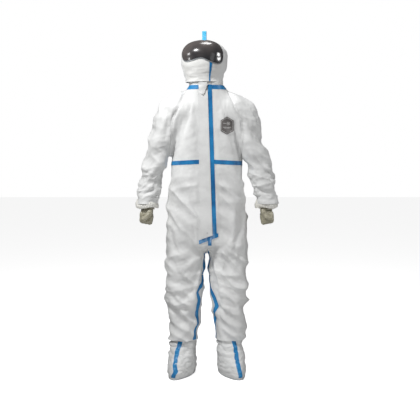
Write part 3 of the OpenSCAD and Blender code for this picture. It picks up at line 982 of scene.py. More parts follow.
    def crease(self, rest: np.ndarray, points: np.ndarray, normals: np.ndarray) -> np.ndarray:
        """Presses fine creases into the hung cloth.

        Args:
            rest: The points before draping.
            points: The hung points.
            normals: Their smooth normals.

        Returns:
            The creased points.
        """
        height, aside = self.height(rest), np.abs(self.aside(rest))
        arm = (aside > along(self.raglan, height)).astype(float)
        fore = arm * ramp(height, 1.20, 1.10) * ramp(height, 0.925, 0.96)
        leg = ramp(height, 0.72, 0.62) * (1 - arm)
        outer = 0.30 + 0.70 * ramp(aside, 0.045, 0.105)
        knee = leg * ramp(np.abs(height - 0.43), 0.12, 0.03) * outer
        fold = leg * outer
        skew = rest.copy()
        skew[:, 2] += 0.25 * aside
        across = ridges(skew, (8, 8, 22), 11, 0.28)
        tilted = ridges(skew + 0.02 * noise(rest, 12, 12)[:, None], (13, 13, 34), 13, 0.25)
        small = ridges(rest, (30, 30, 42), 14, 0.22)
        warp = skew + 0.03 * np.stack([noise(rest, 6, s) for s in (15, 16, 17)], axis=1)
        broad = -np.hypot(noise(warp, (3.6, 3.6, 8.5), 18), 0.06) + 0.27
        slant = rest.copy()
        slant[:, 2] += 0.8 * (rest[:, 0] - BODY_X)
        bold = -np.hypot(noise(slant, (5.5, 5.5, 12), 19), 0.05) + 0.27
        belly = ramp(height, 1.12, 1.02) * (1 - arm) * (1 - leg)
        depth = (
            broad * (0.006 + 0.034 * fold + 0.022 * knee + 0.026 * arm + 0.016 * belly)
            + bold * (0.006 + 0.024 * fold + 0.018 * knee + 0.018 * arm + 0.014 * belly)
            + across * (0.0016 + 0.0085 * fore + 0.004 * knee + 0.0015 * leg + 0.002 * arm)
            + tilted * (0.0012 + 0.0052 * fore + 0.003 * knee + 0.0014 * arm)
            + small * (0.0007 + 0.0012 * fore + 0.0006 * leg)
        )
        still = self.calm(rest)
        seam = np.exp(-((self.past_raglan(rest) / 0.010) ** 2)) * ramp(height, 1.19, 1.23)
        depth = depth - 0.0045 * seam * (height < 1.60)
        return points + normals * (depth * still)[:, None]

    def calm(self, rest: np.ndarray) -> np.ndarray:
        """Is 1 on loose cloth and near 0 where a tape or the closure keeps it flat.

        Args:
            rest: The points before draping.

        Returns:
            A factor for each point's creases.
        """
        height, aside = self.height(rest), self.aside(rest)
        strip = ramp(np.abs(aside - self.drift(height) + 0.01), 0.045, 0.075)
        strip = np.where((rest[:, 1] < 0) & (height > 0.72), strip, 1)
        tape = ramp(np.abs(self.waist_line(rest)), 0.010, 0.035)
        arm = np.abs(aside) > along(self.raglan, height)
        neck = ramp(height, 1.55, 1.50)
        return np.minimum(strip * 0.7 + 0.3, np.where(arm, 1, tape * 0.6 + 0.4)) * (0.3 + 0.7 * neck)

    def sew(self) -> None:
        """Makes the hung, creased and cut skin, from which the panels and tapes are taken."""
        skin = self.solid("skin", self.voxel, 12, lambda height, part: 0.0)
        draw = np.random.default_rng(5)
        start = positions(skin.data)
        move_points(skin.data, start + draw.normal(scale=0.0006, size=start.shape))
        rest = positions(skin.data)
        hung = self.hang(skin)
        skin.shape_key_clear()
        skin.modifiers.clear()
        plain = new_mesh("rest", rest, [tuple(p.vertices) for p in skin.data.polygons])
        skin.data = plain.data.copy()
        move_points(skin.data, hung)
        for piece in (skin, plain):
            subdivide(piece, 1)
        rest, points = positions(plain.data), positions(skin.data)
        points = self.crease(rest, points, point_normals(skin.data))
        move_points(skin.data, points)
        bpy.data.objects.remove(plain)
        keep_rest(skin.data, rest)
        self.tree = BVHTree.FromPolygons(points.tolist(), [tuple(p.vertices) for p in skin.data.polygons])
        shape = bmesh.new()
        shape.from_mesh(skin.data)
        self.cut_all(Cutter(shape))
        shape.to_mesh(skin.data)
        shape.free()
        self.skin = Skin(skin.data)
        bpy.data.objects.remove(skin)

    def cut_all(self, cutter: Cutter) -> None:
        """Cuts the skin along every seam, edge and tape.

        Args:
            cutter: The cutter over the skin's mesh.
        """
        def torso(p: np.ndarray) -> np.ndarray:
            """Is true between the raglan seams and above the crotch."""
            return (self.past_raglan(p) < 0.0005) & (self.height(p) > 0.7)

        def front(p: np.ndarray) -> np.ndarray:
            """Is true on the torso well ahead of the side seams."""
            return torso(p) & (p[:, 1] < self.middle(self.height(p)) - 0.04)

        for offset in (-0.004, 0.0, 0.004):
            cutter.cut(lambda p: self.past_raglan(p) - offset, lambda p: self.height(p) > 1.17)
        cutter.cut(lambda p: p[:, 1] - self.middle(self.height(p)), torso)
        for offset in (-self.tape_w / 2, 0.0, self.tape_w / 2):
            cutter.cut(lambda p: self.waist_line(p) - offset, torso)
        cutter.cut(lambda p: self.height(p) - self.neck)
        cutter.cut(lambda p: self.height(p) - self.neck + self.tape_w)
        cutter.cut(self.past_shoulder, lambda p: self.past_raglan(p) > -0.0005)
        cutter.cut(self.past_hip, lambda p: np.abs(self.aside(p)) < 0.24)
        cutter.cut(self.aside, lambda p: self.past_hip(p) > -0.001)
        cutter.cut(lambda p: self.height(p) - self.knee)
        cutter.cut(lambda p: self.height(p) - self.hem)
        cutter.cut(lambda p: self.height(p) - self.sleeve_end, lambda p: self.past_raglan(p) > 0)
        for offset in (-0.034, -0.010):
            cutter.cut(lambda p: self.aside(p) - self.drift(self.height(p)) - offset, front)
        cutter.cut(lambda p: self.height(p) - 0.778, lambda p: front(p) & (np.abs(self.aside(p)) < 0.06))

    # ----- panels and tapes

    def turning(self, side: Side, joint: str) -> Turning:
        """Gives the two bodies that a soft panel joins, and where it turns from one to the other.

        Args:
            side: The wearer's side.
            joint: The joint's name.

        Returns:
            The two bodies and the points between which it turns.
        """
        k, word = side.value, side.word
        if joint == "shoulder":
            start = Vector((BODY_X + k * self.shoulder_at[0], 0, self.shoulder_at[1] + SOLE_Z))
            aim = Vector((k * self.shoulder_aim[0], 0, self.shoulder_aim[1]))
            return "torso", f"{word}_upper_arm", start, start + aim * 0.075
        if joint == "hip":
            start = Vector((BODY_X, 0, self.crotch + SOLE_Z))
            aim = Vector((k * self.hip_aim[0], 0, self.hip_aim[1]))
            return "torso", f"{word}_thigh", start, start + aim * 0.14
        bodies, heights = {
            "elbow": (("upper_arm", "forearm"), (1.118, 1.048)),
            "knee": (("thigh", "shin"), (0.525, 0.385)),
        }[joint]
        return turning_at(f"{word}_{bodies[0]}", f"{word}_{bodies[1]}", BODY_X + k * 0.3, heights)

    def panel(
        self,
        name: str,
        pick: Field,
        body: str | Turning,
        *nodes: str,
    ) -> None:
        """Makes one panel of the laminate.

        Args:
            name: The panel's name.
            pick: Tells which faces of the skin it takes.
            body: The body it rides on, or the two that it joins.
            *nodes: The CAD nodes that it replaces.
        """
        piece = shell(name, self.skin.sheet(pick), 0.0, self.cloth)
        dress(piece, self.material, Slot.LAMINATE, body, *nodes)

    def torso_panels(self) -> None:
        """Makes the six panels of the torso."""
        def inside(p: np.ndarray) -> np.ndarray:
            """Is true on the torso, but not in the slit of the zip."""
            height, aside = self.height(p), self.aside(p) - self.drift(self.height(p))
            slit = (aside > -0.034) & (aside < -0.010) & (height > 0.778)
            slit &= p[:, 1] < self.middle(height) - 0.04
            return (self.past_raglan(p) < 0) & (height < self.neck) & (self.past_hip(p) < 0) & ~slit

        for level, above in (("upper", True), ("lower", False)):
            for place, ahead, side in (
                ("front_left", True, 1), ("front_right", True, -1), ("back", False, 0),
            ):
                def pick(p: np.ndarray) -> np.ndarray:
                    """Is true on this panel."""
                    on = inside(p) & ((self.waist_line(p) > 0) == above)
                    on &= (p[:, 1] < self.middle(self.height(p))) == ahead
                    if side:
                        on &= (self.aside(p) - self.drift(self.height(p)) + 0.022) * side > 0
                    return on

                self.panel(f"jacket_{level}_{place}", pick, "torso", f"{level}_{place}")

    def limb_panels(self, side: Side) -> None:
        """Makes the two panels of a sleeve and the two of a leg.

        Args:
            side: The wearer's side.
        """
        k, word = side.value, side.word

        def sleeve(p: np.ndarray) -> np.ndarray:
            """Is true on this side's sleeve."""
            return (self.past_raglan(p) > 0) & (self.height(p) > self.sleeve_end) & (self.aside(p) * k > 0)

        def leg(p: np.ndarray) -> np.ndarray:
            """Is true on this side's leg."""
            on = (self.past_hip(p) > 0) & (np.abs(self.aside(p)) < 0.24) & (self.height(p) > self.hem)
            return on & (self.height(p) < 0.87) & (self.aside(p) * k > 0)

        self.panel(
            f"{word}_sleeve_upper", lambda p: sleeve(p) & (self.past_shoulder(p) < 0),
            self.turning(side, "shoulder"),
            f"{word}_shoulder", f"{word}_shoulder_fold", f"{word}_upper_sleeve",
        )
        self.panel(
            f"{word}_sleeve_lower", lambda p: sleeve(p) & (self.past_shoulder(p) > 0),
            self.turning(side, "elbow"), f"{word}_elbow_fold", f"{word}_forearm_sleeve",
        )
        self.panel(
            f"{word}_leg_upper", lambda p: leg(p) & (self.height(p) > self.knee),
            self.turning(side, "hip"), f"{word}_hip_fold", f"{word}_thigh",
        )
        self.panel(
            f"{word}_leg_lower", lambda p: leg(p) & (self.height(p) < self.knee),
            self.turning(side, "knee"), f"{word}_knee_fold", f"{word}_shin",
        )
        bead = shell(
            f"{word}_raglan_seam",
            self.skin.sheet(
                lambda p: (np.abs(self.past_raglan(p)) < 0.004) & (self.aside(p) * k > 0)
                & (self.height(p) > 1.215) & (self.height(p) < self.neck)
            ),
            0.0012, -0.0001,
        )
        dress(bead, self.material, Slot.LAMINATE, "torso")

    def round_tapes(self) -> None:
        """Makes the tapes round the neck and the waist, which follow their seams."""
        def on_torso(p: np.ndarray, first: float, last: float) -> np.ndarray:
            """Leaves out the closure, between two distances from its line."""
            aside = self.aside(p) - self.drift(self.height(p))
            gap = (aside > first) & (aside < last) & (p[:, 1] < 0)
            return (self.past_raglan(p) < 0.004) & ~gap

        neck = self.skin.sheet(
            lambda p: (np.abs(self.height(p) - self.neck + self.tape_w / 2) < self.tape_w / 2)
            & on_torso(p, -0.042, 0.026) & (np.abs(self.aside(p)) < 0.13)
        )
        dress(shell("neck_seam_tape", neck, 0.0011, -0.0004), self.tape, Slot.TAPE, "torso", "neck_tape")
        waist = self.skin.sheet(
            lambda p: (np.abs(self.waist_line(p)) < self.tape_w / 2) & on_torso(p, -0.036, 0.022)
        )
        dress(shell("waist_seam_tape", waist, 0.0011, -0.0004), self.tape, Slot.TAPE, "torso", "waist_tape")

    def on_front(self, x: np.ndarray, height: np.ndarray) -> np.ndarray:
        """Gives the points of the front surface at a grid of places.

        Args:
            x: Distances from the body's middle.
            height: Heights, of the same shape.

        Returns:
            The points, rows by columns by 3.
        """
        origins = np.stack([BODY_X + x, np.full_like(x, AHEAD_Y), height + SOLE_Z], axis=2)
        return cast(self.tree, origins, np.broadcast_to(BACKWARD, origins.shape))

    def front_tape(self, name: str, node: str, x: np.ndarray, height: np.ndarray, out: float) -> None:
        """Lays a strip of tape on the front, given a grid of places.

        Args:
            name: The piece's name.
            node: The CAD node that it replaces.
            x: Distances from the body's middle.
            height: Heights, of the same shape.
            out: How far it stands off the cloth.
        """
        grid = eased(self.on_front(x, height), 2)
        piece = grid_shell(name, grid, out + 0.0007, -out)
        dress(piece, self.tape, Slot.TAPE, "torso", node)

    def front_tapes(self) -> None:
        """Lays the tapes of the closure on the front."""
        down = np.linspace(1.562, 0.768, 190)[:, None]
        over = np.linspace(0.0055, 0.005 + self.tape_w, 6)[None, :]
        over = over + self.drift(down)
        self.front_tape("flap_side_tape", "flap_seam_tape", over, down + 0 * over, 0.0012)
        across = np.linspace(-0.040, 0.061, 32)[:, None]
        band = np.linspace(-0.0105, 0.0105, 5)[None, :]
        high = 0.746 + across * 0.38 + band
        self.front_tape("closure_end_tape", "flap_end_tape", across + 0 * band, high, 0.002)
        down = np.linspace(0, 1, 12)[:, None]
        over = np.linspace(0.008, 0.026, 5)[None, :]
        top = 0.735 + over * 0.38
        high = top + (0.712 - top) * down
        self.front_tape("crotch_seam_tape", "crotch_tape", over + 0 * down, high, 0.0012)

    def leg_tapes(self, side: Side) -> None:
        """Lays the tape down the inside of a leg, in two lengths that part at the knee.

        Args:
            side: The wearer's side.
        """
        k, word = side.value, side.word
        paths = {
            Side.LEFT: (
                (0.69, 6), (0.60, 8), (0.52, 10), (0.47, 22), (0.42, 40), (0.38, 46), (0.324, 28), (0.28, 16),
                (0.2, 14),
            ),
            Side.RIGHT: (
                (0.69, 6), (0.60, 10), (0.53, 14), (0.48, 30), (0.455, 46), (0.41, 36), (0.324, 38),
                (0.28, 34), (0.24, 42), (0.2, 44),
            ),
        }[side]
        for part, low, high, joint, nodes in (
            ("upper", 0.548, 0.68, "hip", ()),
            ("lower", self.hem + 0.004, 0.542, "knee", (f"{word}_leg_tape",)),
        ):
            down = np.linspace(high, low, int((high - low) / 0.005))[:, None]
            angle = np.radians(along(paths, down))
            half_w, half_d = along(self.leg, down, 3), along(self.leg, down, 4)
            spread = np.linspace(-0.5, 0.5, 5)[None, :] * self.tape_w / half_w
            turn = angle + spread
            origins = np.stack(
                [
                    BODY_X + k * (along(self.leg, down) + 0 * turn),
                    along(self.leg, down, 2) + 0 * turn,
                    down + SOLE_Z + 0 * turn,
                ],
                axis=2,
            )
            aims = np.stack([-k * np.cos(turn) * half_w, -np.sin(turn) * half_d, 0 * turn], axis=2)
            aims /= np.linalg.norm(aims, axis=2)[:, :, None]
            grid = eased(cast(self.tree, origins, aims, 0.13), 1)
            if side is Side.RIGHT:
                grid = grid[:, ::-1]
            piece = grid_shell(f"{word}_leg_tape_{part}", grid, 0.0016, -0.0006)
            dress(piece, self.tape, Slot.TAPE, self.turning(side, joint), *nodes)

    def elastic(self, material: bpy.types.Material) -> None:
        """Sews the gathered elastic inside the back of the waist.

        Args:
            material: The elastic's material.
        """
        band = self.skin.sheet(
            lambda p: (self.waist_line(p) > self.tape_w / 2) & (self.waist_line(p) < 0.03)
            & (p[:, 1] > self.middle(self.height(p)) + 0.03) & (self.past_raglan(p) < 0)
        )
        dress(shell("waist_gather", band, -0.0016, 0.0030), material, Slot.ELASTIC, "torso", "waist_elastic")


# ---------------------------------------------------------------- what repeats


def row_tree() -> bpy.types.NodeTree:
    """Builds the tree that sets rods along a line, such as stitches, teeth and ribs.

    Returns:
        The tree. Its inputs are the line, the pitch, the rod's sides, radius, length,
        flattening and turn, and the material.
    """
    tree = bpy.data.node_groups.new("row_of_rods", "GeometryNodeTree")
    face = tree.interface
    face.new_socket("Line", in_out="INPUT", socket_type="NodeSocketGeometry")
    for name, kind, value in (
        ("Pitch", "NodeSocketFloat", 0.005), ("Sides", "NodeSocketInt", 6),
        ("Radius", "NodeSocketFloat", 0.0004), ("Length", "NodeSocketFloat", 0.003),
        ("Flatten", "NodeSocketVector", (1, 1, 1)), ("Turn", "NodeSocketVector", (0, 0, 0)),
        ("Finish", "NodeSocketMaterial", None),
    ):
        socket = face.new_socket(name, in_out="INPUT", socket_type=kind)
        if value is not None:
            socket.default_value = value
    face.new_socket("Rods", in_out="OUTPUT", socket_type="NodeSocketGeometry")
    nodes, links = tree.nodes, tree.links
    sizes = nodes.new("NodeGroupInput")
    sizes.label = "Line and rod sizes"
    curve = nodes.new("GeometryNodeMeshToCurve")
    curve.label = "Line as a curve"
    spaced = nodes.new("GeometryNodeResampleCurve")
    spaced.label = "One point for each pitch"
    spaced.mode = "LENGTH"
    tangent = nodes.new("GeometryNodeInputTangent")
    tangent.label = "Run of the line"
    aligned = nodes.new("FunctionNodeAlignRotationToVector")
    aligned.label = "Rod along the line"
    aligned.axis = "Z"
    turned = nodes.new("FunctionNodeRotateRotation")
    turned.label = "Rod's own turn"
    turned.rotation_space = "LOCAL"
    as_turn = nodes.new("FunctionNodeEulerToRotation")
    as_turn.label = "Turn as a rotation"
    rod = nodes.new("GeometryNodeMeshCylinder")
    rod.label = "One rod"
    placed = nodes.new("GeometryNodeInstanceOnPoints")
    placed.label = "A rod at each point"
    real = nodes.new("GeometryNodeRealizeInstances")
    real.label = "Rods made real"
    finish = nodes.new("GeometryNodeSetMaterial")
    finish.label = "Rods' finish"
    result = nodes.new("NodeGroupOutput")
    result.label = "Row of rods"
    order = (sizes, curve, spaced, tangent, aligned, as_turn, turned, rod, placed, real, finish, result)
    for place, node in enumerate(order):
        node.location = (place * 190, -(place % 3) * 120)
    links.new(sizes.outputs["Line"], curve.inputs["Mesh"])
    links.new(curve.outputs["Curve"], spaced.inputs["Curve"])
    links.new(sizes.outputs["Pitch"], spaced.inputs["Length"])
    links.new(tangent.outputs["Tangent"], aligned.inputs["Vector"])
    links.new(aligned.outputs["Rotation"], turned.inputs["Rotation"])
    links.new(sizes.outputs["Turn"], as_turn.inputs["Euler"])
    links.new(as_turn.outputs["Rotation"], turned.inputs["Rotate By"])
    links.new(sizes.outputs["Sides"], rod.inputs["Vertices"])
    links.new(sizes.outputs["Radius"], rod.inputs["Radius"])
    links.new(sizes.outputs["Length"], rod.inputs["Depth"])
    links.new(spaced.outputs["Curve"], placed.inputs["Points"])
    links.new(rod.outputs["Mesh"], placed.inputs["Instance"])
    links.new(turned.outputs["Rotation"], placed.inputs["Rotation"])
    links.new(sizes.outputs["Flatten"], placed.inputs["Scale"])
    links.new(placed.outputs["Instances"], real.inputs["Geometry"])
    links.new(real.outputs["Geometry"], finish.inputs["Geometry"])
    links.new(sizes.outputs["Finish"], finish.inputs["Material"])
    links.new(finish.outputs["Geometry"], result.inputs["Rods"])
    return tree


@dataclass(frozen=True)
class Rods:
    """The sizes of a row of rods: stitches, teeth or ribs."""

    pitch: float
    radius: float
    length: float
    sides: int = 6
    flatten: tuple[float, float, float] = (1.0, 1.0, 1.0)
    turn: tuple[float, float, float] = (0.0, 0.0, 0.0)


def row_of(
    name: str, tree: bpy.types.NodeTree, lines: Sequence[np.ndarray], rods: Rods, material: bpy.types.Material
) -> bpy.types.Object:
    """Sets rods along some lines.

    Args:
        name: The piece's name.
        tree: The tree of row_tree.
        lines: The lines, each an array of points.
        rods: The sizes.
        material: The rods' material.

    Returns:
        The piece, a plain mesh.
    """
    points = np.concatenate(lines)
    edges: list[tuple[int, int]] = []
    offset = 0
    for line in lines:
        edges += [(offset + i, offset + i + 1) for i in range(len(line) - 1)]
        offset += len(line)
    mesh = bpy.data.meshes.new(name)
    mesh.from_pydata(points.tolist(), edges, [])
    piece = bpy.data.objects.new(name, mesh)
    bpy.context.scene.collection.objects.link(piece)
    modifier = piece.modifiers.new("row", "NODES")
    modifier.node_group = tree
    values = {
        "Pitch": rods.pitch, "Sides": rods.sides, "Radius": rods.radius, "Length": rods.length,
        "Flatten": rods.flatten, "Turn": rods.turn, "Finish": material,
    }
    for item in tree.interface.items_tree:
        if item.in_out == "INPUT" and item.name in values:
            modifier[item.identifier] = values[item.name]
    return settled(piece)


# ---------------------------------------------------------------- closure


@dataclass
class Closure:
    """The storm flap, the chin tab, the zip and the badge, all laid on the front.

    Attributes:
        suit: The coverall that they lie on.
        top: Height of the flap's upper end.
        foot: Height of the flap's lower end at its hinge.
        slope: How the lower end falls away from the hinge.
        zip_top: Height of the zip's upper end.
        zip_foot: Height of its lower end.
        slider_height: Height of the slider, with the zip closed.
        badge_x: How far the badge's middle is from the body's middle.
        badge_height: Height of the badge's middle.
        badge_half: Half the badge's width and half its height.
    """

    suit: Coverall
    top: float = 1.530
    foot: float = 0.768
    slope: float = 0.34
    zip_top: float = 1.528
    zip_foot: float = 0.780
    slider_height: float = 1.511
    badge_x: float = 0.108
    badge_height: float = 1.347
    badge_half: tuple[float, float] = (0.034, 0.047)

    def flap(
        self, material: bpy.types.Material, thread: bpy.types.Material, tree: bpy.types.NodeTree
    ) -> None:
        """Makes the storm flap, which lies just off the cloth, and its stitches.

        Args:
            material: The laminate.
            thread: The stitches' material.
            tree: The tree of row_tree.
        """
        s = np.linspace(0, 1, 170)[:, None]
        t = np.linspace(0, 1, 15)[None, :]
        end = self.foot + (-0.034 + 0.065 * t - 0.031) * self.slope
        height = self.top + s * (end - self.top)
        drift = self.suit.drift(height)
        left = -0.048 + 0.52 * drift + 0.0012 * np.sin(height * 23) + 0.0008 * np.sin(height * 61)
        right = 0.0048 + drift
        x = left + t * (right - left)
        cloth = self.suit.on_front(x, height)
        y = cloth[:, :, 1]
        padded = np.pad(y, ((4, 4), (2, 2)), mode="edge")
        round_it = [
            padded[4 + i : 4 + i + len(y), 2 + j : 2 + j + 15] for i in range(-4, 5) for j in (-2, 0, 2)
        ]
        near = np.min(round_it, axis=0)
        near = eased(near, 12)
        flat = np.stack([x.ravel(), 0 * x.ravel(), height.ravel()], axis=1)
        ripple = noise(flat, (9, 1, 11), 21).reshape(x.shape)
        dent = ridges(flat, (14, 1, 26), 22).reshape(x.shape)
        lift = 0.0030 + (0.0016 + 0.0022 * ripple + 0.0016 * dent) * (1 - t) ** 0.7
        out = near - lift
        grid = np.stack([cloth[:, :, 0], out, cloth[:, :, 2]], axis=2)
        self.flap_grid = grid
        piece = grid_shell("front_flap", grid, 0.0006, 0.0006)
        dress(piece, material, Slot.LAMINATE, "storm_flap", "storm_flap")
        inner = grid[2:-2, 1] * 0.6 + grid[2:-2, 2] * 0.4 + np.array([0, -0.0007, 0])
        stitches = row_of("flap_stitches", tree, [inner], Rods(0.0042, 0.00035, 0.0027), thread)
        dress(stitches, thread, Slot.LAMINATE, "storm_flap")

    def tab(self, material: bpy.types.Material) -> None:
        """Makes the chin tab, the tongue over the flap's upper end.

        Args:
            material: The laminate.
        """
        s = np.linspace(0, 1, 26)[:, None]
        t = np.linspace(0, 1, 19)[None, :]
        top, low = 1.574, 1.512
        height = top + s * (low - top) - 0.006 * s**2 * (2 * t - 1)
        left = -0.043 + 0.004 * s
        right = 0.003 - 0.019 * s**1.5
        corner = 0.006 * np.clip((s - 0.82) / 0.18, 0, 1) ** 2
        x = left + corner + t * (right - left - 2 * corner)
        flap_y = float(self.flap_grid[:6, :, 1].min())
        y = flap_y - 0.0028 - 0.010 * np.clip(0.25 - s, 0, 1) - 0.0022 * (np.sin(np.pi * t) - 0.5)
        y = y - 0.002 * s**2 + 0.0009 * np.sin(9 * s + 3 * t)
        grid = np.stack([BODY_X + x, y + 0 * x, height + SOLE_Z], axis=2)
        held, free = (Vector((BODY_X - 0.021, -0.1032, high + SOLE_Z)) for high in (1.571, 1.558))
        body = ("storm_flap", "chin_tab", held, free)
        dress(grid_shell("neck_tab", grid, 0.0008, 0.0008), material, Slot.LAMINATE, body, "chin_tab")

    def zip_point(self, height: np.ndarray, x: float, out: float) -> np.ndarray:
        """Gives points on the zip's plane, some way aside and in front of it.

        Args:
            height: Heights above the soles.
            x: How far aside.
            out: How far in front of the plane.

        Returns:
            The points, one in a row.
        """
        y = self.suit.front(height) - out
        return np.stack([BODY_X - 0.022 + self.suit.drift(height) + x, y, height + SOLE_Z], axis=1)

    def zip(
        self,
        tape: bpy.types.Material,
        coil: bpy.types.Material,
        metal: bpy.types.Material,
        tree: bpy.types.NodeTree,
    ) -> None:
        """Makes the zip under the flap: two tapes, the teeth, the slider and the stops.

        Args:
            tape: The zip tapes' material.
            coil: The teeth's material.
            metal: The slider's material.
            tree: The tree of row_tree.
        """
        height = np.linspace(self.zip_top, self.zip_foot, 60)
        strips = []
        for k in (-1, 1):
            rows = [self.zip_point(height, k * x, -0.0050) for x in (0.0028, 0.0045, 0.0075, 0.011, 0.0158)]
            strips.append(np.stack(rows if k > 0 else rows[::-1], axis=1))
        points, faces = joined([(grid.reshape(-1, 3), grid_faces(*grid.shape[:2])) for grid in strips])
        normals = np.concatenate([grid_normals(grid.reshape(-1, 3), *grid.shape[:2]) for grid in strips])
        both = (points, normals, faces)
        dress(shell("zip_webs", both, 0.0004, 0.0004), tape, Slot.ZIP_TAPE, "torso", "zip_tapes")
        teeth = [
            self.zip_point(height[1:-1] + shift, x, -0.0018)
            for x, shift in ((-0.0011, 0.0), (0.0011, 0.0012))
        ]
        rods = Rods(0.0024, 0.0011, 0.0032, 8, (1, 1.15, 1), (0, math.radians(90), 0))
        chain = row_of("zip_teeth", tree, teeth, rods, coil)
        cords = [self.zip_point(height[1:-1], x, -0.0030) for x in (-0.0027, 0.0027)]
        cord = row_of("zip_cords", tree, cords, Rods(0.0030, 0.0009, 0.0032, 6), coil)
        dress(chain, coil, Slot.COIL, "torso", "zip_coil")
        dress(cord, coil, Slot.COIL, "torso")
        self.slider(metal)

    def slider(self, metal: bpy.types.Material) -> None:
        """Makes the zip's slider with its bridge and pull, and the stops.

        Args:
            metal: Its material.
        """
        def lozenge(x: float, height: float, out: float, size: Sequence[float], waist: float) -> Part:
            """Gives a rounded block on the zip: its points and faces.

            Args:
                x: How far aside its middle is.
                height: Its middle's height.
                out: How far in front of the zip's plane.
                size: Its width, depth and height.
                waist: How wide its middle is, as a part of the width.

            Returns:
                The points and faces.
            """
            base = self.zip_point(np.array([height]), x, out)[0]
            rings = []
            for z, w in ((-1, 0.80), (-0.85, 1.0), (0, waist), (0.85, 1.0), (1, 0.80)):
                turn = np.linspace(0, 2 * np.pi, 20, endpoint=False)
                rings.append(
                    base
                    + np.stack(
                        [
                            power(np.cos(turn), 0.5) * size[0] / 2 * w,
                            power(np.sin(turn), 0.5) * size[1] / 2 * w,
                            np.full(20, z * size[2] / 2),
                        ],
                        axis=1,
                    )
                )
            return loft(rings[::-1])

        h = self.slider_height
        parts = [
            lozenge(0, h, 0.0004, (0.0092, 0.0016, 0.0135), 0.86),
            lozenge(0, h, 0.0002 - 0.0042, (0.0088, 0.0012, 0.0130), 0.86),
            lozenge(0, h + 0.0035, -0.0018, (0.0018, 0.0050, 0.0050), 1.0),
            lozenge(0, h, 0.0024, (0.0028, 0.0024, 0.0098), 0.8),
            lozenge(0, h - 0.0155, 0.0042, (0.0068, 0.0011, 0.0250), 0.80),
        ]
        body = outward(new_mesh("zip_runner", *joined(parts)))
        dress(body, metal, Slot.SLIDER, "zip_slider", "zip_slider")
        high = self.zip_top - 0.002
        ends = [
            lozenge(x, height, -0.0010, (width, 0.0030, 0.0034), 1.0)
            for x, height, width in ((-0.003, high, 0.003), (0.003, high, 0.003), (0, 0.7815, 0.008))
        ]
        stops = outward(new_mesh("zip_end_stops", *joined(ends)))
        dress(stops, metal, Slot.SLIDER, "torso", "zip_stops")

    def badge(self, film: bpy.types.Material, marks: bpy.types.Material) -> None:
        """Makes the six-sided patch on the chest and its plain raised marks.

        Args:
            film: The patch's material.
            marks: The marks' material.
        """
        half_w, half_h = self.badge_half
        v = np.linspace(1, -1, 25)[:, None]
        u = np.linspace(-1, 1, 19)[None, :]
        wide = np.minimum(1, (1 - np.abs(v)) * half_h / 0.020 + 0.02)
        x = self.badge_x + u * half_w * wide
        height = self.badge_height + v * half_h + 0 * u
        base = self.suit.on_front(x, height)
        for _ in range(6):
            base = eased(base, 1)
            base[:, 1:-1] = (base[:, :-2] + 2 * base[:, 1:-1] + base[:, 2:]) / 4
        base[:, :, 0] = BODY_X + x
        base[:, :, 2] = height + SOLE_Z
        dress(grid_shell("chest_patch", base, 0.0026, -0.0012), film, Slot.BADGE, "torso", "chest_badge")
        tree = BVHTree.FromPolygons(base.reshape(-1, 3).tolist(), grid_faces(25, 19))

        def on_patch(px: np.ndarray, pz: np.ndarray) -> np.ndarray:
            """Gives points on the patch at places in its own measures.

            Args:
                px: Distances aside from its middle.
                pz: Distances up from its middle.

            Returns:
                The points, rows by columns by 3.
            """
            across, up = BODY_X + self.badge_x + px, self.badge_height + SOLE_Z + pz
            origins = np.stack([across, np.full_like(px, AHEAD_Y), up], axis=2)
            return cast(tree, origins, np.broadcast_to(BACKWARD, origins.shape))

        sheets: list[Sheet] = []
        corner = np.array([(0, 1), (-1, 0.574), (-1, -0.574), (0, -1), (1, -0.574), (1, 0.574), (0, 1)])
        path = np.concatenate([np.linspace(a, b, 9)[:-1] for a, b in zip(corner[:-1], corner[1:])])
        px = np.stack([path[:, 0] * half_w * k for k in (0.90, 0.86)], 1)
        pz = np.stack([path[:, 1] * half_h * k for k in (0.90, 0.86)], 1)
        px, pz = np.vstack([px, px[:1]]), np.vstack([pz, pz[:1]])
        sheets.append(self.strip(on_patch(px, pz)))
        turn = np.linspace(0, 2 * np.pi, 29)[:, None]
        for cx, cz, r in ((0.007, 0.011, 0.0085), (0.007, 0.011, 0.0035)):
            radius = np.array([[r, r - 0.0017]])
            sheets.append(self.strip(on_patch(cx + np.cos(turn) * radius, cz + np.sin(turn) * radius)))
        for left, right, at in (
            (-0.022, -0.003, -0.0085), (0.001, 0.021, -0.0085),
            (-0.015, 0.014, -0.0130), (-0.020, -0.006, 0.012),
        ):
            px = np.repeat(np.linspace(left, right, 7)[:, None], 2, 1)
            pz = np.repeat(np.array([[at - 0.0011, at + 0.0011]]), 7, 0)
            sheets.append(self.strip(on_patch(px, pz)))
        points, faces = joined([(sheet[0], sheet[2]) for sheet in sheets])
        normals = np.tile(np.array([0.0, -1.0, 0.0]), (len(points), 1))
        dress(shell("patch_marks", (points, normals, faces), 0.0031, -0.0024), marks, Slot.BADGE, "torso")

    @staticmethod
    def strip(grid: np.ndarray) -> Sheet:
        """Gives a grid of points as a sheet that faces the front.

        Args:
            grid: The points, rows by columns by 3.

        Returns:
            The sheet.
        """
        rows, cols = grid.shape[:2]
        points, faces = grid.reshape(-1, 3), grid_faces(rows, cols)
        normals = grid_normals(points, rows, cols)
        if normals[:, 1].mean() > 0:
            faces, normals = [tuple(reversed(f)) for f in faces], -normals
        return points, normals, faces


# ---------------------------------------------------------------- hood


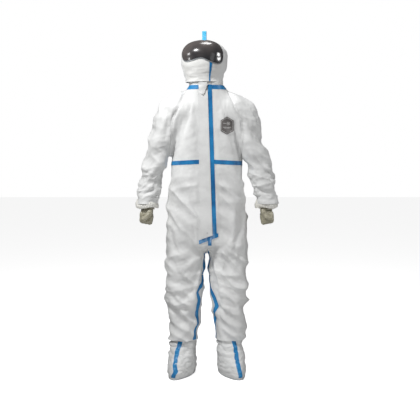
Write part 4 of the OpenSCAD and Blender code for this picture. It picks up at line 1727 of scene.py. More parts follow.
@dataclass
class Hood:
    """The hood with its face panels, visor, gasket, seam tape, collar and hang loop.

    Attributes:
        profile: Height, half width and half depth from the crown down.
        turn: How far the hood looks towards the wearer's right, in degrees.
        window: The visor's outline: degrees aside and height.
        seam: How far aside the face's seam runs, in degrees.
        rows: How many rings of points the surface has.
        cols: How many points a ring has.
        reach: Metres aside for each radian round the hood.
    """

    profile: Table = (
        (1.800, 0.004, 0.005), (1.799, 0.026, 0.031), (1.794, 0.048, 0.055), (1.785, 0.071, 0.079),
        (1.771, 0.095, 0.103), (1.752, 0.113, 0.120), (1.730, 0.1225, 0.129), (1.700, 0.1235, 0.130),
        (1.672, 0.122, 0.1295), (1.650, 0.117, 0.124), (1.625, 0.108, 0.115), (1.604, 0.102, 0.108),
        (1.590, 0.099, 0.105), (1.578, 0.100, 0.106),
    )
    turn: float = 8.0
    window: Table = (
        (-59, 1.762), (-55, 1.780), (-36, 1.787), (0, 1.789), (36, 1.788), (52, 1.782), (58, 1.766),
        (58, 1.72), (57, 1.690), (52, 1.675), (42, 1.671), (30, 1.676), (18, 1.685), (9, 1.694), (1, 1.700),
        (-6, 1.699), (-18, 1.690), (-34, 1.684), (-46, 1.688), (-53, 1.700), (-57, 1.712), (-59, 1.730),
    )
    seam: float = 24.0
    rows: int = 74
    cols: int = 168
    reach: float = 0.123

    def outline(self) -> np.ndarray:
        """Gives the visor's outline as a smooth closed line, in metres aside and heights."""
        corners = np.array([(math.radians(a) * self.reach, h) for a, h in self.window])
        for _ in range(3):
            after = np.roll(corners, -1, axis=0)
            pairs = np.stack([corners * 0.75 + after * 0.25, corners * 0.25 + after * 0.75], axis=1)
            corners = pairs.reshape(-1, 2)
        return corners

    def from_window(self, places: np.ndarray) -> np.ndarray:
        """Gives the distance from the visor's outline, below zero inside it.

        Args:
            places: Unrolled places: metres aside, zero, height.

        Returns:
            A distance for each place.
        """
        line = self.outline()
        after = np.roll(line, -1, axis=0)
        point = places[:, [0, 2]]
        best = np.full(len(point), 1e9)
        inside = np.zeros(len(point), dtype=bool)
        for a, b in zip(line, after):
            edge = b - a
            t = np.clip(((point - a) @ edge) / max(float(edge @ edge), 1e-12), 0, 1)
            best = np.minimum(best, np.linalg.norm(point - a - t[:, None] * edge, axis=1))
            crosses = (a[1] > point[:, 1]) != (b[1] > point[:, 1])
            with np.errstate(divide="ignore", invalid="ignore"):
                at = a[0] + (point[:, 1] - a[1]) / (b[1] - a[1]) * edge[0]
            inside ^= crosses & (point[:, 0] < at)
        return np.where(inside, -best, best)

    def surface(self) -> bpy.types.Object:
        """Makes the hood's whole surface, with its creases."""
        table = np.array(self.profile)
        length = np.concatenate([[0], np.cumsum(np.hypot(np.diff(table[:, 0]), np.diff(table[:, 1])))])
        at = np.linspace(0, length[-1], self.rows)
        sampled = np.stack([np.interp(at, length, table[:, k]) for k in range(3)], axis=1)
        sampled = eased(sampled, 6)
        turn = np.linspace(-np.pi, np.pi, self.cols, endpoint=False)
        height = np.repeat(sampled[:, 0:1], self.cols, axis=1)
        x = sampled[:, 1:2] * power(np.sin(turn), 2 / 2.1)[None, :]
        y = -sampled[:, 2:3] * power(np.cos(turn), 2 / 2.1)[None, :]
        points = np.stack([x, y, height + SOLE_Z], axis=2).reshape(-1, 3)
        unrolled = np.repeat(turn[None, :] * self.reach, self.rows, axis=0)
        rest = np.stack([unrolled, 0 * height, height], axis=2).reshape(-1, 3)
        normals = grid_normals(points, self.rows, self.cols, looped=True)
        high = rest[:, 2]
        near = ramp(np.abs(self.from_window(rest)), 0.010, 0.030)
        ring = ramp(high, 1.665, 1.62)
        soft = ramp(np.abs(rest[:, 0]), 0.10, 0.16)
        depth = noise(points, 9, 31) * 0.0022
        depth += ridges(points, (9, 9, 48), 32) * (0.0010 + 0.0062 * ring)
        depth += ridges(points, (16, 16, 15), 33) * (0.0014 + 0.0045 * soft)
        calm = near * ramp(high, 1.800, 1.780)
        hem = ramp(high, 1.590, 1.580) * 0.6
        points = points + normals * (depth * calm * (1 - hem))[:, None]
        points = points @ spin_z(-self.turn).T
        faces = grid_faces(self.rows, self.cols, looped=True)
        faces.append(tuple(range(self.cols)))
        whole = new_mesh("hood_surface", points, faces)
        keep_rest(whole.data, rest)
        return whole

    def build(
        self,
        cloth: bpy.types.Material,
        face_cloth: bpy.types.Material,
        tape: bpy.types.Material,
        lens: bpy.types.Material,
        clear: bpy.types.Material,
    ) -> None:
        """Cuts the surface into the hood's halves, face panels, tape, visor and gasket.

        Args:
            cloth: The hood's laminate.
            face_cloth: The face panels' laminate.
            tape: The seam tape's material.
            lens: The visor's material.
            clear: The gasket's material.
        """
        whole = self.surface()
        shape = bmesh.new()
        shape.from_mesh(whole.data)
        cutter = Cutter(shape, snap=0.0003)
        edge = math.radians(58) * self.reach
        seam = math.radians(self.seam) * self.reach

        def ahead(p: np.ndarray) -> np.ndarray:
            """Is true on the front half."""
            return np.abs(p[:, 0]) < 0.25

        def below(p: np.ndarray) -> np.ndarray:
            """Is true on the front half below the middle of the visor."""
            return ahead(p) & (p[:, 2] < 1.715)

        def face(p: np.ndarray) -> np.ndarray:
            """Is true on the face panels under the visor."""
            return (np.abs(p[:, 0]) < edge) & (p[:, 2] < 1.72) & (self.from_window(p) > 0)

        for level in (-0.009, -0.001, 0.0, 0.006):
            cutter.cut(lambda p: self.from_window(p) - level, ahead)
        for at in (-edge, edge, seam):
            cutter.cut(lambda p: p[:, 0] - at, below)
        for k in (-1, 1):
            cutter.cut(lambda p: p[:, 0] - seam - k * self.seam_half(p[:, 2]), below)
        cutter.cut(lambda p: p[:, 0], lambda p: ahead(p) & (p[:, 2] > 1.75))
        shape.to_mesh(whole.data)
        shape.free()
        part = Skin(whole.data)
        for side in Side:
            k, word = side.value, side.word
            half = part.sheet(lambda p: ~face(p) & (self.from_window(p) > 0) & (p[:, 0] * k > 0))
            dress(shell(f"hood_half_{word}", half, 0.0, 0.0008), cloth, Slot.LAMINATE, "root", f"hood_{word}")
            panel = part.sheet(lambda p: face(p) & ((p[:, 0] - seam) * k > 0))
            piece = shell(f"face_panel_{word}", panel, 0.0, 0.0008)
            dress(piece, face_cloth, Slot.LAMINATE, "root", f"face_{word}")
        strip = part.sheet(lambda p: face(p) & (np.abs(p[:, 0] - seam) < self.seam_half(p[:, 2])))
        dress(shell("face_seam_tape", strip, 0.0010, -0.0003), tape, Slot.TAPE, "root", "hood_seam_tape")
        band = part.sheet(lambda p: (self.from_window(p) > -0.009) & (self.from_window(p) < 0.006))
        dress(shell("visor_rim", band, 0.0030, -0.0004), clear, Slot.GASKET, "root", "visor_gasket")
        glass = part.sheet(lambda p: self.from_window(p) < -0.001)
        dress(shell("visor_lens", glass, 0.0058, -0.0034), lens, Slot.LENS, "root", "visor")
        bpy.data.objects.remove(whole)

    @staticmethod
    def seam_half(height: np.ndarray) -> np.ndarray:
        """Gives half the width of the face seam's tape, which narrows downwards."""
        return 0.0045 + 0.004 * np.clip((height - 1.60) / 0.09, 0, 1)

    def collar(self, cloth: bpy.types.Material) -> None:
        """Makes the soft collar that joins the hood to the jacket's neck.

        Args:
            cloth: The laminate.
        """
        count, rows = 120, 22
        low = oval(BODY_X, (-0.096 + 0.084) / 2, 1.553, 0.0905, 0.0885, 2.5, count)
        high = oval(0, 0, 1.622, 0.100, 0.107, 2.1, count)
        grid = []
        for t in np.linspace(0, 1, rows):
            ring = high + (low - high) * t
            middle = ring.mean(axis=0)
            pull = (ring - middle) * np.array([1, 1, 0])
            narrowed = middle * np.array([1, 1, 0]) + pull * (1 - 0.035 * math.sin(math.pi * t))
            grid.append(narrowed + ring * np.array([0, 0, 1]))
        grid = np.array(grid)
        points = grid.reshape(-1, 3)
        normals = -grid_normals(points, rows, count, looped=True)
        out = np.sign(((points - points.mean(axis=0)) * normals * np.array([1, 1, 0])).sum(axis=1))[:, None]
        depth = ridges(points, (12, 12, 60), 41) * 0.006
        still = np.minimum(np.linspace(0, 1, rows) * 5, (1 - np.linspace(0, 1, rows)) * 6).clip(0, 1)
        points = points + normals * out * (depth * np.repeat(still, count))[:, None]
        shape = grid_shell("soft_collar", points.reshape(rows, count, 3), 0.0, 0.0008, looped=True)
        turning = turning_at("root", "torso", 0, (1.600, 1.562))
        dress(shape, cloth, Slot.LAMINATE, turning, "neck_collar")

    def loop(
        self, webbing: bpy.types.Material, thread: bpy.types.Material, tree: bpy.types.NodeTree
    ) -> None:
        """Makes the hang loop of folded webbing and the stitches through its foot.

        Args:
            webbing: The loop's material.
            thread: The stitches' material.
            tree: The tree of row_tree.
        """
        radius, low = 0.0058, -0.0475
        arc = np.linspace(math.pi, 0, 17)
        path = [(-0.020, low - 0.001), (-0.014, low - 0.0002), (-0.009, low + 0.0012), (-0.0066, low + 0.005)]
        path += [(-radius, z) for z in np.linspace(low + 0.011, -0.007, 12)]
        path += [(math.cos(a) * radius, -0.005 + math.sin(a) * radius) for a in arc]
        path += [(-y, z) for y, z in path[15::-1]]
        line = np.array(path)
        across = np.linspace(-0.011, 0.011, 9)
        bow = 1 - 0.02 * np.abs(across / 0.011) ** 6
        grid = np.stack(
            [
                np.repeat(across[None, :], len(line), 0),
                line[:, 0:1] * bow[None, :] + 0 * across,
                np.repeat(line[:, 1:2], len(across), 1),
            ],
            axis=2,
        )
        spin = spin_z(-self.turn)
        grid = grid @ spin.T
        dress(grid_shell("crown_loop", grid, 0.0008, 0.0008), webbing, Slot.WEBBING, "root", "hang_loop")
        lines = []
        for face in (-1, 1):
            box = (
                (-0.008, -0.0345), (0.008, -0.0345), (0.008, -0.0245), (-0.008, -0.0245), (-0.008, -0.0345),
                (0.008, -0.0245),
            )
            corners = np.array([(x, face * (radius + 0.0009), z) for x, z in box])
            path = [np.linspace(a, b, 8)[:-1] for a, b in zip(corners[:-1], corners[1:])]
            lines.append(np.concatenate(path) @ spin.T)
        stitches = row_of("loop_stitches", tree, lines, Rods(0.0026, 0.0003, 0.0019), thread)
        dress(stitches, thread, Slot.WEBBING, "root")


# ---------------------------------------------------------------- hands and feet


@dataclass
class Hand:
    """A latex glove closed in a fist, with its knitted cuff and the sleeve's elastic.

    Attributes:
        side: The wearer's side.
        x: How far the hand hangs from the body's middle.
        middle: Height of the fist's middle, where the bones' places start.
        large: The scale of the fist's bones.
    """

    side: Side
    x: float = 0.323
    middle: float = 0.862
    large: float = 1.17

    def bone(self, a: Sequence[float], b: Sequence[float], thick: tuple[float, float]) -> Part:
        """Gives a rounded rod from a to b, in places from the fist's middle.

        Args:
            a: Its start.
            b: Its end.
            thick: Its radius at the start and at the end.

        Returns:
            The points and faces.
        """
        k, large = self.side.value, self.large
        thick = (thick[0] * large, thick[1] * large)
        start, end = (
            np.array([BODY_X + k * (self.x + x * large), y * large, self.middle + z * large + SOLE_Z])
            for x, y, z in (a, b)
        )
        run = (end - start) / np.linalg.norm(end - start)
        aside = np.cross(run, [0.3, 0.9, 0.2])
        aside /= np.linalg.norm(aside)
        other = np.cross(run, aside)
        turn = np.linspace(0, 2 * np.pi, 14, endpoint=False)[:, None]
        ring = np.cos(turn) * aside + np.sin(turn) * other
        dome = ((0, 1.0), (0.4, 0.92), (0.75, 0.66), (0.98, 0.2))
        rings = [start - run * at * thick[0] + ring * thick[0] * size for at, size in reversed(dome)]
        rings += [end + run * at * thick[1] + ring * thick[1] * size for at, size in dome]
        return loft(rings)

    def fist(self, latex: bpy.types.Material) -> None:
        """Melts palm, fingers and thumb into one glove.

        Args:
            latex: The glove's material.
        """
        bones = [
            ((0.000, 0.004, 0.062), (0.000, 0.002, 0.020), (0.026, 0.029)),
            ((0.004, -0.014, 0.016), (0.006, -0.014, -0.010), (0.023, 0.021)),
            ((0.004, 0.012, 0.016), (0.006, 0.014, -0.010), (0.023, 0.021)),
        ]
        for y, size, lower in (
            (-0.028, 0.0122, 0.0), (-0.009, 0.0124, -0.003), (0.010, 0.0118, -0.001), (0.027, 0.0106, 0.004),
        ):
            bones += [
                ((0.020, y * 0.9, 0.012), (0.021, y, -0.019 + lower), (size, size * 1.06)),
                ((0.021, y, -0.019 + lower), (-0.013, y, -0.026 + lower), (size * 1.04, size)),
                ((-0.013, y, -0.026 + lower), (-0.019, y * 0.96, -0.002 + lower), (size, size * 0.92)),
            ]
        bones += [
            ((-0.012, -0.018, 0.040), (-0.014, -0.036, 0.016), (0.0165, 0.0140)),
            ((-0.014, -0.036, 0.016), (0.000, -0.044, -0.002), (0.0130, 0.0116)),
            ((0.000, -0.044, -0.002), (0.016, -0.043, -0.013), (0.0116, 0.0100)),
        ]
        fist = joined([self.bone(*bone) for bone in bones])
        glove = melted(new_mesh(f"{self.side.word}_fist_glove", *fist), 0.0021, 4)
        place = positions(glove.data)
        depth = ridges(place, 42, 51) * 0.0034 + ridges(place, (60, 60, 120), 52) * 0.0014
        move_points(glove.data, place + point_normals(glove.data) * depth[:, None])
        dress(glove, latex, Slot.LATEX, f"{self.side.word}_hand", f"{self.side.word}_glove")

    def cuff(self, knit: bpy.types.Material, elastic: bpy.types.Material) -> None:
        """Makes the ribbed inner cuff and the gathered band inside the sleeve's end.

        Args:
            knit: The inner cuff's material.
            elastic: The gathered band's material.
        """
        k, word = self.side.value, self.side.word
        x = BODY_X + k * self.x
        turn = np.linspace(0, 2 * np.pi, 288, endpoint=False)
        rings = []
        for height in np.linspace(0.964, 0.900, 30):
            sag = 0.0016 * math.sin(height * 260) + 0.0020 * float(ramp(np.array(height), 0.912, 0.902))
            ring = oval(x, 0, height, 0.036 + sag, 0.034 + sag, 2.0, 288)
            rib = 0.0007 * power(np.cos(turn * 48), 0.6)
            ring[:, 0] += np.cos(turn) * rib
            ring[:, 1] += np.sin(turn) * rib
            ring[:, 2] += 0.0025 * np.sin(turn * 2 + k) * float(ramp(np.array(height), 0.93, 0.902))
            rings.append(ring)
        grid = np.array(rings)
        wrist = turning_at(f"{word}_forearm", f"{word}_hand", x, (0.962, 0.914))
        ribbed = grid_shell(f"{word}_knit_cuff", grid[:, ::-1], 0.0, 0.0012, looped=True)
        dress(ribbed, knit, Slot.KNIT, wrist, f"{word}_inner_cuff")
        rings = []
        turn = np.linspace(0, 2 * np.pi, 160, endpoint=False)
        for at, height in enumerate(np.linspace(0.952, 0.908, 16)):
            wide = 0.0520 + 0.0085 * math.sin(at / 15 * 2.2) ** 2
            ring = oval(x, 0, height, wide, wide - 0.001, 2.0, 160)
            gather = 0.0013 * np.sin(turn * 26 + at * 0.35) + 0.0034 * noise(ring, (24, 24, 40), 61)
            ring[:, 0] += np.cos(turn) * gather
            ring[:, 1] += np.sin(turn) * gather
            ring[:, 2] += 0.004 * np.sin(turn * 3 + 1.3 * k) * (at / 15)
            rings.append(ring)
        grid = np.array(rings)
        gathered = grid_shell(f"{word}_sleeve_gather", grid[:, ::-1], 0.0, 0.0010, looped=True)
        dress(gathered, elastic, Slot.ELASTIC, f"{word}_forearm", f"{word}_cuff_elastic")


@dataclass
class Foot:
    """A boot cover with its tape and its ribbed sole.

    Attributes:
        side: The wearer's side.
        x: How far the foot stands from the body's middle.
        toe_out: How far the toes turn outwards, in degrees.
        shape: Height, y, half width and half length of the cover, from the top down.
    """

    side: Side
    x: float = 0.127
    toe_out: float = 16.0
    shape: Table = (
        (0.236, 0.0, 0.058, 0.061), (0.190, 0.0, 0.064, 0.066), (0.150, -0.006, 0.067, 0.074),
        (0.110, -0.022, 0.067, 0.098), (0.075, -0.037, 0.068, 0.124), (0.040, -0.042, 0.069, 0.140),
        (0.020, -0.042, 0.067, 0.141), (0.008, -0.042, 0.062, 0.136),
    )

    def place(self, points: np.ndarray) -> np.ndarray:
        """Turns the toes outwards and sets the foot in its place.

        Args:
            points: Points as the foot stands straight at the origin.

        Returns:
            The points in their place.
        """
        k = self.side.value
        return points @ spin_z(k * self.toe_out).T + np.array([BODY_X + k * self.x, 0, 0])

    @staticmethod
    def tapered(points: np.ndarray) -> np.ndarray:
        """Narrows the foot to its toe.

        Args:
            points: Points of the foot, straight at the origin.

        Returns:
            The narrowed points.
        """
        narrow = points.copy()
        narrow[:, 0] *= 1 - 0.42 * np.clip((-points[:, 1] - 0.03) / 0.155, 0, 1) ** 1.8
        return narrow

    def build(
        self,
        cloth: bpy.types.Material,
        tape: bpy.types.Material,
        rubber: bpy.types.Material,
        tree: bpy.types.NodeTree,
    ) -> None:
        """Makes the creased cover, the tape down its front and the sole.

        Args:
            cloth: The laminate.
            tape: The tape's material.
            rubber: The sole's material.
            tree: The tree of row_tree.
        """
        k, word, count, rows = self.side.value, self.side.word, 150, 74
        table = np.array(self.shape)[::-1]
        heights = np.linspace(0.236, 0.008, rows)
        sampled = np.stack([np.interp(heights, table[:, 0], table[:, c]) for c in (1, 2, 3)], axis=1)
        sampled = eased(sampled, 10)
        grid = np.array([oval(0, y, h, a, b, 2.3, count) for h, (y, a, b) in zip(heights, sampled)])[:, ::-1]
        points = self.tapered(grid.reshape(-1, 3))
        high = points[:, 2] - SOLE_Z
        normals = grid_normals(points, rows, count, looped=True)
        seed = 70 + k
        loose = ramp(high, 0.010, 0.035) * (1 - 0.75 * ramp(high, 0.196, 0.214))
        shin = ramp(high, 0.075, 0.14)
        depth = noise(points, (11, 11, 14), seed) * (0.0040 + 0.0050 * shin)
        depth += ridges(points, (9, 9, 26), seed + 3, 0.22) * (0.006 + 0.016 * shin)
        warped = points + 0.01 * noise(points, 20, 3)[:, None]
        depth += ridges(warped, (20, 20, 44), seed + 6) * 0.0085
        depth += ridges(points, 46, seed + 9) * 0.0024
        points = self.place(points + normals * (depth * loose)[:, None])
        cover = grid_shell(f"{word}_boot_cover", points.reshape(rows, count, 3), 0.0, 0.0009, looped=True)
        ankle = turning_at(f"{word}_shin", f"{word}_foot", BODY_X + k * self.x, (0.222, 0.150))
        dress(cover, cloth, Slot.LAMINATE, ankle, f"{word}_boot")
        tree_points = BVHTree.FromPolygons(points.tolist(), grid_faces(rows, count, looped=True))
        down = np.linspace(0.222, 0.014, 66)[:, None]
        over = np.linspace(-0.0112, 0.0112, 6)[None, :]
        sway = 0.0035 * np.sin(down * 46 + k) + 0.008 * np.exp(-(((down - 0.045) / 0.013) ** 2)) * (k < 0)
        local = np.stack([over + sway, np.full((66, 6), -0.4), down + SOLE_Z + 0 * over], axis=2)
        start = self.place(local.reshape(-1, 3)).reshape(66, 6, 3)
        local[:, :, 1] = 0
        aims = self.place(local.reshape(-1, 3)).reshape(66, 6, 3) - start
        aims /= np.linalg.norm(aims, axis=2)[:, :, None]
        strip = eased(cast(tree_points, start, aims), 1)
        piece = grid_shell(f"{word}_boot_seam_tape", strip, 0.0020, -0.0008)
        dress(piece, tape, Slot.TAPE, ankle, f"{word}_boot_tape")
        edge = (
            (0.0084, 0.010), (0.0084, 0.0035), (0.0076, 0.0014), (0.0055, 0.0004), (0.0020, 0.0008),
            (0.0006, 0.0030), (0.0006, 0.009),
        )
        rings = [oval(0, -0.042, h, 0.066 - less, 0.141 - less, 2.3, 96) for h, less in edge]
        sole_points, sole_faces = loft(rings)
        sole = outward(new_mesh(f"{word}_boot_tread", self.place(self.tapered(sole_points)), sole_faces))
        dress(sole, rubber, Slot.SOLE, f"{word}_foot", f"{word}_boot_sole")
        y = np.linspace(-0.170, 0.086, 33)
        lines = []
        for at in y:
            half = 0.058 * (1 - abs((at + 0.042) / 0.142) ** 2.3) ** (1 / 2.3)
            if half > 0.012:
                xs = np.linspace(-half, half, 9)
                line = np.stack([xs, at + 0.004 * np.sin(xs * 160), np.full(9, 0.0007 + SOLE_Z)], axis=1)
                lines.append(self.place(self.tapered(line)))
        ribs = row_of(f"{word}_tread_ribs", tree, lines, Rods(0.0085, 0.0011, 0.0066, 6, (1, 1, 1)), rubber)
        dress(ribs, rubber, Slot.SOLE, f"{word}_foot")


# ---------------------------------------------------------------- finishes


@dataclass(frozen=True)
class Cloth:
    """A film-faced or woven finish.

    Attributes:
        name: The material's name.
        light: Its colour where it is lightest.
        dark: Its colour where it is darkest.
        roughness: How matt it is.
        grain: How many embossed cells it has to a metre.
        emboss: How strongly the grain stands out.
        crinkle: How strongly the fine creases stand out.
        sheen: How much it glows at its edges.
        coat: How much clear gloss lies over it.
    """

    name: str
    light: tuple[float, float, float]
    dark: tuple[float, float, float]
    roughness: float = 0.55
    grain: float = 900.0
    emboss: float = 0.12
    crinkle: float = 0.35
    sheen: float = 0.05
    coat: float = 0.0


WHITE = Cloth("white_laminate", (0.80, 0.805, 0.80), (0.70, 0.705, 0.70))
FACE = Cloth("face_laminate", (0.78, 0.78, 0.765), (0.69, 0.685, 0.665), crinkle=0.5)
BLUE = Cloth("blue_tape", (0.021, 0.250, 0.56), (0.007, 0.105, 0.30), 0.34, 700, 0.10, 0.30, 0.0, 0.15)
KNIT = Cloth("knit_cuff", (0.77, 0.74, 0.64), (0.56, 0.53, 0.43), 0.85, 500, 0.5, 0.2, 0.3)
ELASTIC = Cloth("elastic", (0.86, 0.85, 0.80), (0.72, 0.70, 0.64), 0.8, 650, 0.5, 0.2, 0.2)
WEBBING = Cloth("loop_webbing", (0.075, 0.52, 0.84), (0.02, 0.30, 0.60), 0.6, 800, 0.7, 0.1, 0.15)
BADGE = Cloth("badge_patch", (0.150, 0.140, 0.136), (0.085, 0.078, 0.076), 0.45, 600, 0.10, 0.2)
MARKS = Cloth("patch_marks", (0.62, 0.61, 0.60), (0.45, 0.44, 0.43), 0.5, 600, 0.1, 0.1)
LATEX = Cloth("latex", (0.52, 0.49, 0.38), (0.30, 0.28, 0.20), 0.40, 300, 0.12, 0.5, 0.1, 0.1)
ZIP_WEB = Cloth("zip_tape", (0.66, 0.67, 0.68), (0.48, 0.49, 0.50), 0.8, 900, 0.8, 0.1, 0.1)
THREAD = Cloth("white_thread", (0.78, 0.78, 0.77), (0.55, 0.55, 0.54), 0.7, 1500, 0.5, 0.0, 0.1)
RUBBER = Cloth("boot_sole", (0.56, 0.57, 0.58), (0.36, 0.37, 0.38), 0.7, 400, 0.25, 0.3)
COIL = Cloth("zip_coil", (0.70, 0.71, 0.72), (0.5, 0.51, 0.52), 0.35, 500, 0.05, 0.0)


def cloth_material(finish: Cloth, weave: bool = False) -> bpy.types.Material:
    """Makes a material of film, woven or moulded cloth.

    Args:
        finish: Its colours and strengths.
        weave: Whether its grain is crossing threads and not small round dents.

    Returns:
        The material.
    """
    material = bpy.data.materials.new(finish.name)
    material.use_nodes = True
    nodes, links = material.node_tree.nodes, material.node_tree.links
    nodes.clear()
    colour = nodes.new("NodeFrame")
    colour.label = "Colour of the face"
    relief = nodes.new("NodeFrame")
    relief.label = "Relief of grain and creases"
    gloss = nodes.new("NodeFrame")
    gloss.label = "Gloss"
    place = nodes.new("ShaderNodeTexCoord")
    place.label = "Place on the suit"
    cloud = nodes.new("ShaderNodeTexNoise")
    cloud.label = "Uneven thickness of the film"
    cloud.inputs["Scale"].default_value = 9
    cloud.inputs["Detail"].default_value = 6
    cloud.inputs["Roughness"].default_value = 0.6
    shade = nodes.new("ShaderNodeValToRGB")
    shade.label = "Thin to thick film"
    shade.color_ramp.elements[0].position = 0.32
    shade.color_ramp.elements[0].color = (*finish.dark, 1)
    shade.color_ramp.elements[1].position = 0.60
    shade.color_ramp.elements[1].color = (*finish.light, 1)
    fold = nodes.new("ShaderNodeTexNoise")
    fold.label = "Fine creases"
    fold.noise_type = "RIDGED_MULTIFRACTAL"
    fold.inputs["Scale"].default_value = 34
    fold.inputs["Detail"].default_value = 4
    fold.inputs["Distortion"].default_value = 0.6
    if weave:
        grain = nodes.new("ShaderNodeTexWave")
        grain.label = "Ribs of the weave"
        grain.bands_direction = "Z"
        grain.inputs["Scale"].default_value = finish.grain / 3.2
        grain.inputs["Distortion"].default_value = 0.8
        grain_out = grain.outputs["Fac"]
    else:
        grain = nodes.new("ShaderNodeTexVoronoi")
        grain.label = "Embossed dots"
        grain.inputs["Scale"].default_value = finish.grain
        grain.inputs["Randomness"].default_value = 0.35
        grain_out = grain.outputs["Distance"]
    crease = nodes.new("ShaderNodeBump")
    crease.label = "Creases pressed in"
    crease.inputs["Strength"].default_value = finish.crinkle
    crease.inputs["Distance"].default_value = 0.0012
    dots = nodes.new("ShaderNodeBump")
    dots.label = "Grain pressed in"
    dots.inputs["Strength"].default_value = finish.emboss
    dots.inputs["Distance"].default_value = 0.0003
    spread = nodes.new("ShaderNodeMapRange")
    spread.label = "Duller and shinier patches"
    spread.inputs["To Min"].default_value = max(0.05, finish.roughness - 0.08)
    spread.inputs["To Max"].default_value = min(1.0, finish.roughness + 0.10)
    surface = nodes.new("ShaderNodeBsdfPrincipled")
    surface.label = f"Surface of {finish.name}"
    surface.inputs["Sheen Weight"].default_value = finish.sheen
    surface.inputs["Coat Weight"].default_value = finish.coat
    surface.inputs["Coat Roughness"].default_value = 0.25
    result = nodes.new("ShaderNodeOutputMaterial")
    result.label = "Finished surface"
    for node, frame, spot in (
        (place, None, (-900, 0)), (cloud, colour, (-650, 300)), (shade, colour, (-420, 300)),
        (fold, relief, (-650, -250)), (grain, relief, (-650, -520)), (crease, relief, (-400, -250)),
        (dots, relief, (-180, -420)), (spread, gloss, (-400, 40)), (surface, None, (80, 60)),
        (result, None, (380, 60)),
    ):
        node.parent = frame
        node.location = spot
    links.new(place.outputs["Object"], cloud.inputs["Vector"])
    links.new(place.outputs["Object"], fold.inputs["Vector"])
    links.new(place.outputs["Object"], grain.inputs["Vector"])
    links.new(cloud.outputs["Fac"], shade.inputs["Fac"])
    links.new(cloud.outputs["Fac"], spread.inputs["Value"])
    links.new(fold.outputs["Fac"], crease.inputs["Height"])
    links.new(grain_out, dots.inputs["Height"])
    links.new(crease.outputs["Normal"], dots.inputs["Normal"])
    links.new(shade.outputs["Color"], surface.inputs["Base Color"])
    links.new(spread.outputs["Result"], surface.inputs["Roughness"])
    links.new(dots.outputs["Normal"], surface.inputs["Normal"])
    links.new(surface.outputs["BSDF"], result.inputs["Surface"])
    return material


@dataclass(frozen=True)
class Hard:
    """A smooth hard finish: a lens, a clear rim or a metal part.

    Attributes:
        name: The material's name.
        light: Its colour where it is lightest.
        dark: Its colour where it is darkest.
        roughness: How matt it is where it is most polished.
        metallic: 1 for metal.
        clear: How much light goes through it.
        scale: How fine the change from dark to light is.
    """

    name: str
    light: tuple[float, float, float]
    dark: tuple[float, float, float]
    roughness: float
    metallic: float = 0.0
    clear: float = 0.0
    scale: float = 6.0


LENS = Hard("smoked_lens", (0.115, 0.098, 0.092), (0.022, 0.022, 0.025), 0.16, 0.0, 0.0, 5.0)
RIM = Hard("clear_gasket", (0.52, 0.54, 0.56), (0.34, 0.36, 0.38), 0.22, 0.0, 0.35, 14.0)
METAL = Hard("zip_slider", (0.55, 0.56, 0.58), (0.32, 0.33, 0.35), 0.30, 0.9, 0.0, 90.0)


def hard_material(finish: Hard) -> bpy.types.Material:
    """Makes a material of a hard, smooth surface with faint smears.

    Args:
        finish: Its colours and strengths.

    Returns:
        The material.
    """
    material = bpy.data.materials.new(finish.name)
    material.use_nodes = True
    nodes, links = material.node_tree.nodes, material.node_tree.links
    nodes.clear()
    colour = nodes.new("NodeFrame")
    colour.label = "Tint"
    polish = nodes.new("NodeFrame")
    polish.label = "Polish and smears"
    place = nodes.new("ShaderNodeTexCoord")
    place.label = "Place on the suit"
    tint = nodes.new("ShaderNodeTexNoise")
    tint.label = "Tint that varies"
    tint.inputs["Scale"].default_value = finish.scale
    tint.inputs["Detail"].default_value = 3
    shade = nodes.new("ShaderNodeValToRGB")
    shade.label = "Dark to light tint"
    shade.color_ramp.elements[0].position = 0.38
    shade.color_ramp.elements[0].color = (*finish.dark, 1)
    shade.color_ramp.elements[1].position = 0.66
    shade.color_ramp.elements[1].color = (*finish.light, 1)
    smear = nodes.new("ShaderNodeTexNoise")
    smear.label = "Smears"
    smear.inputs["Scale"].default_value = 60
    smear.inputs["Detail"].default_value = 5
    spread = nodes.new("ShaderNodeMapRange")
    spread.label = "Polished to smeared"
    spread.inputs["To Min"].default_value = finish.roughness
    spread.inputs["To Max"].default_value = finish.roughness + 0.14
    dent = nodes.new("ShaderNodeBump")
    dent.label = "Slight unevenness"
    dent.inputs["Strength"].default_value = 0.08
    dent.inputs["Distance"].default_value = 0.0004
    surface = nodes.new("ShaderNodeBsdfPrincipled")
    surface.label = f"Surface of {finish.name}"
    surface.inputs["Metallic"].default_value = finish.metallic
    surface.inputs["Transmission Weight"].default_value = finish.clear
    surface.inputs["Coat Weight"].default_value = 0.4 if finish.metallic < 0.5 else 0.0
    surface.inputs["Coat Roughness"].default_value = 0.06
    result = nodes.new("ShaderNodeOutputMaterial")
    result.label = "Finished surface"
    for node, frame, spot in (
        (place, None, (-850, 0)), (tint, colour, (-600, 240)), (shade, colour, (-380, 240)),
        (smear, polish, (-600, -120)), (spread, polish, (-380, -40)), (dent, polish, (-380, -300)),
        (surface, None, (0, 60)), (result, None, (300, 60)),
    ):
        node.parent = frame
        node.location = spot
    links.new(place.outputs["Object"], tint.inputs["Vector"])
    links.new(place.outputs["Object"], smear.inputs["Vector"])
    links.new(tint.outputs["Fac"], shade.inputs["Fac"])
    links.new(smear.outputs["Fac"], spread.inputs["Value"])
    links.new(smear.outputs["Fac"], dent.inputs["Height"])
    links.new(shade.outputs["Color"], surface.inputs["Base Color"])
    links.new(spread.outputs["Result"], surface.inputs["Roughness"])
    links.new(dent.outputs["Normal"], surface.inputs["Normal"])
    links.new(surface.outputs["BSDF"], result.inputs["Surface"])
    return material


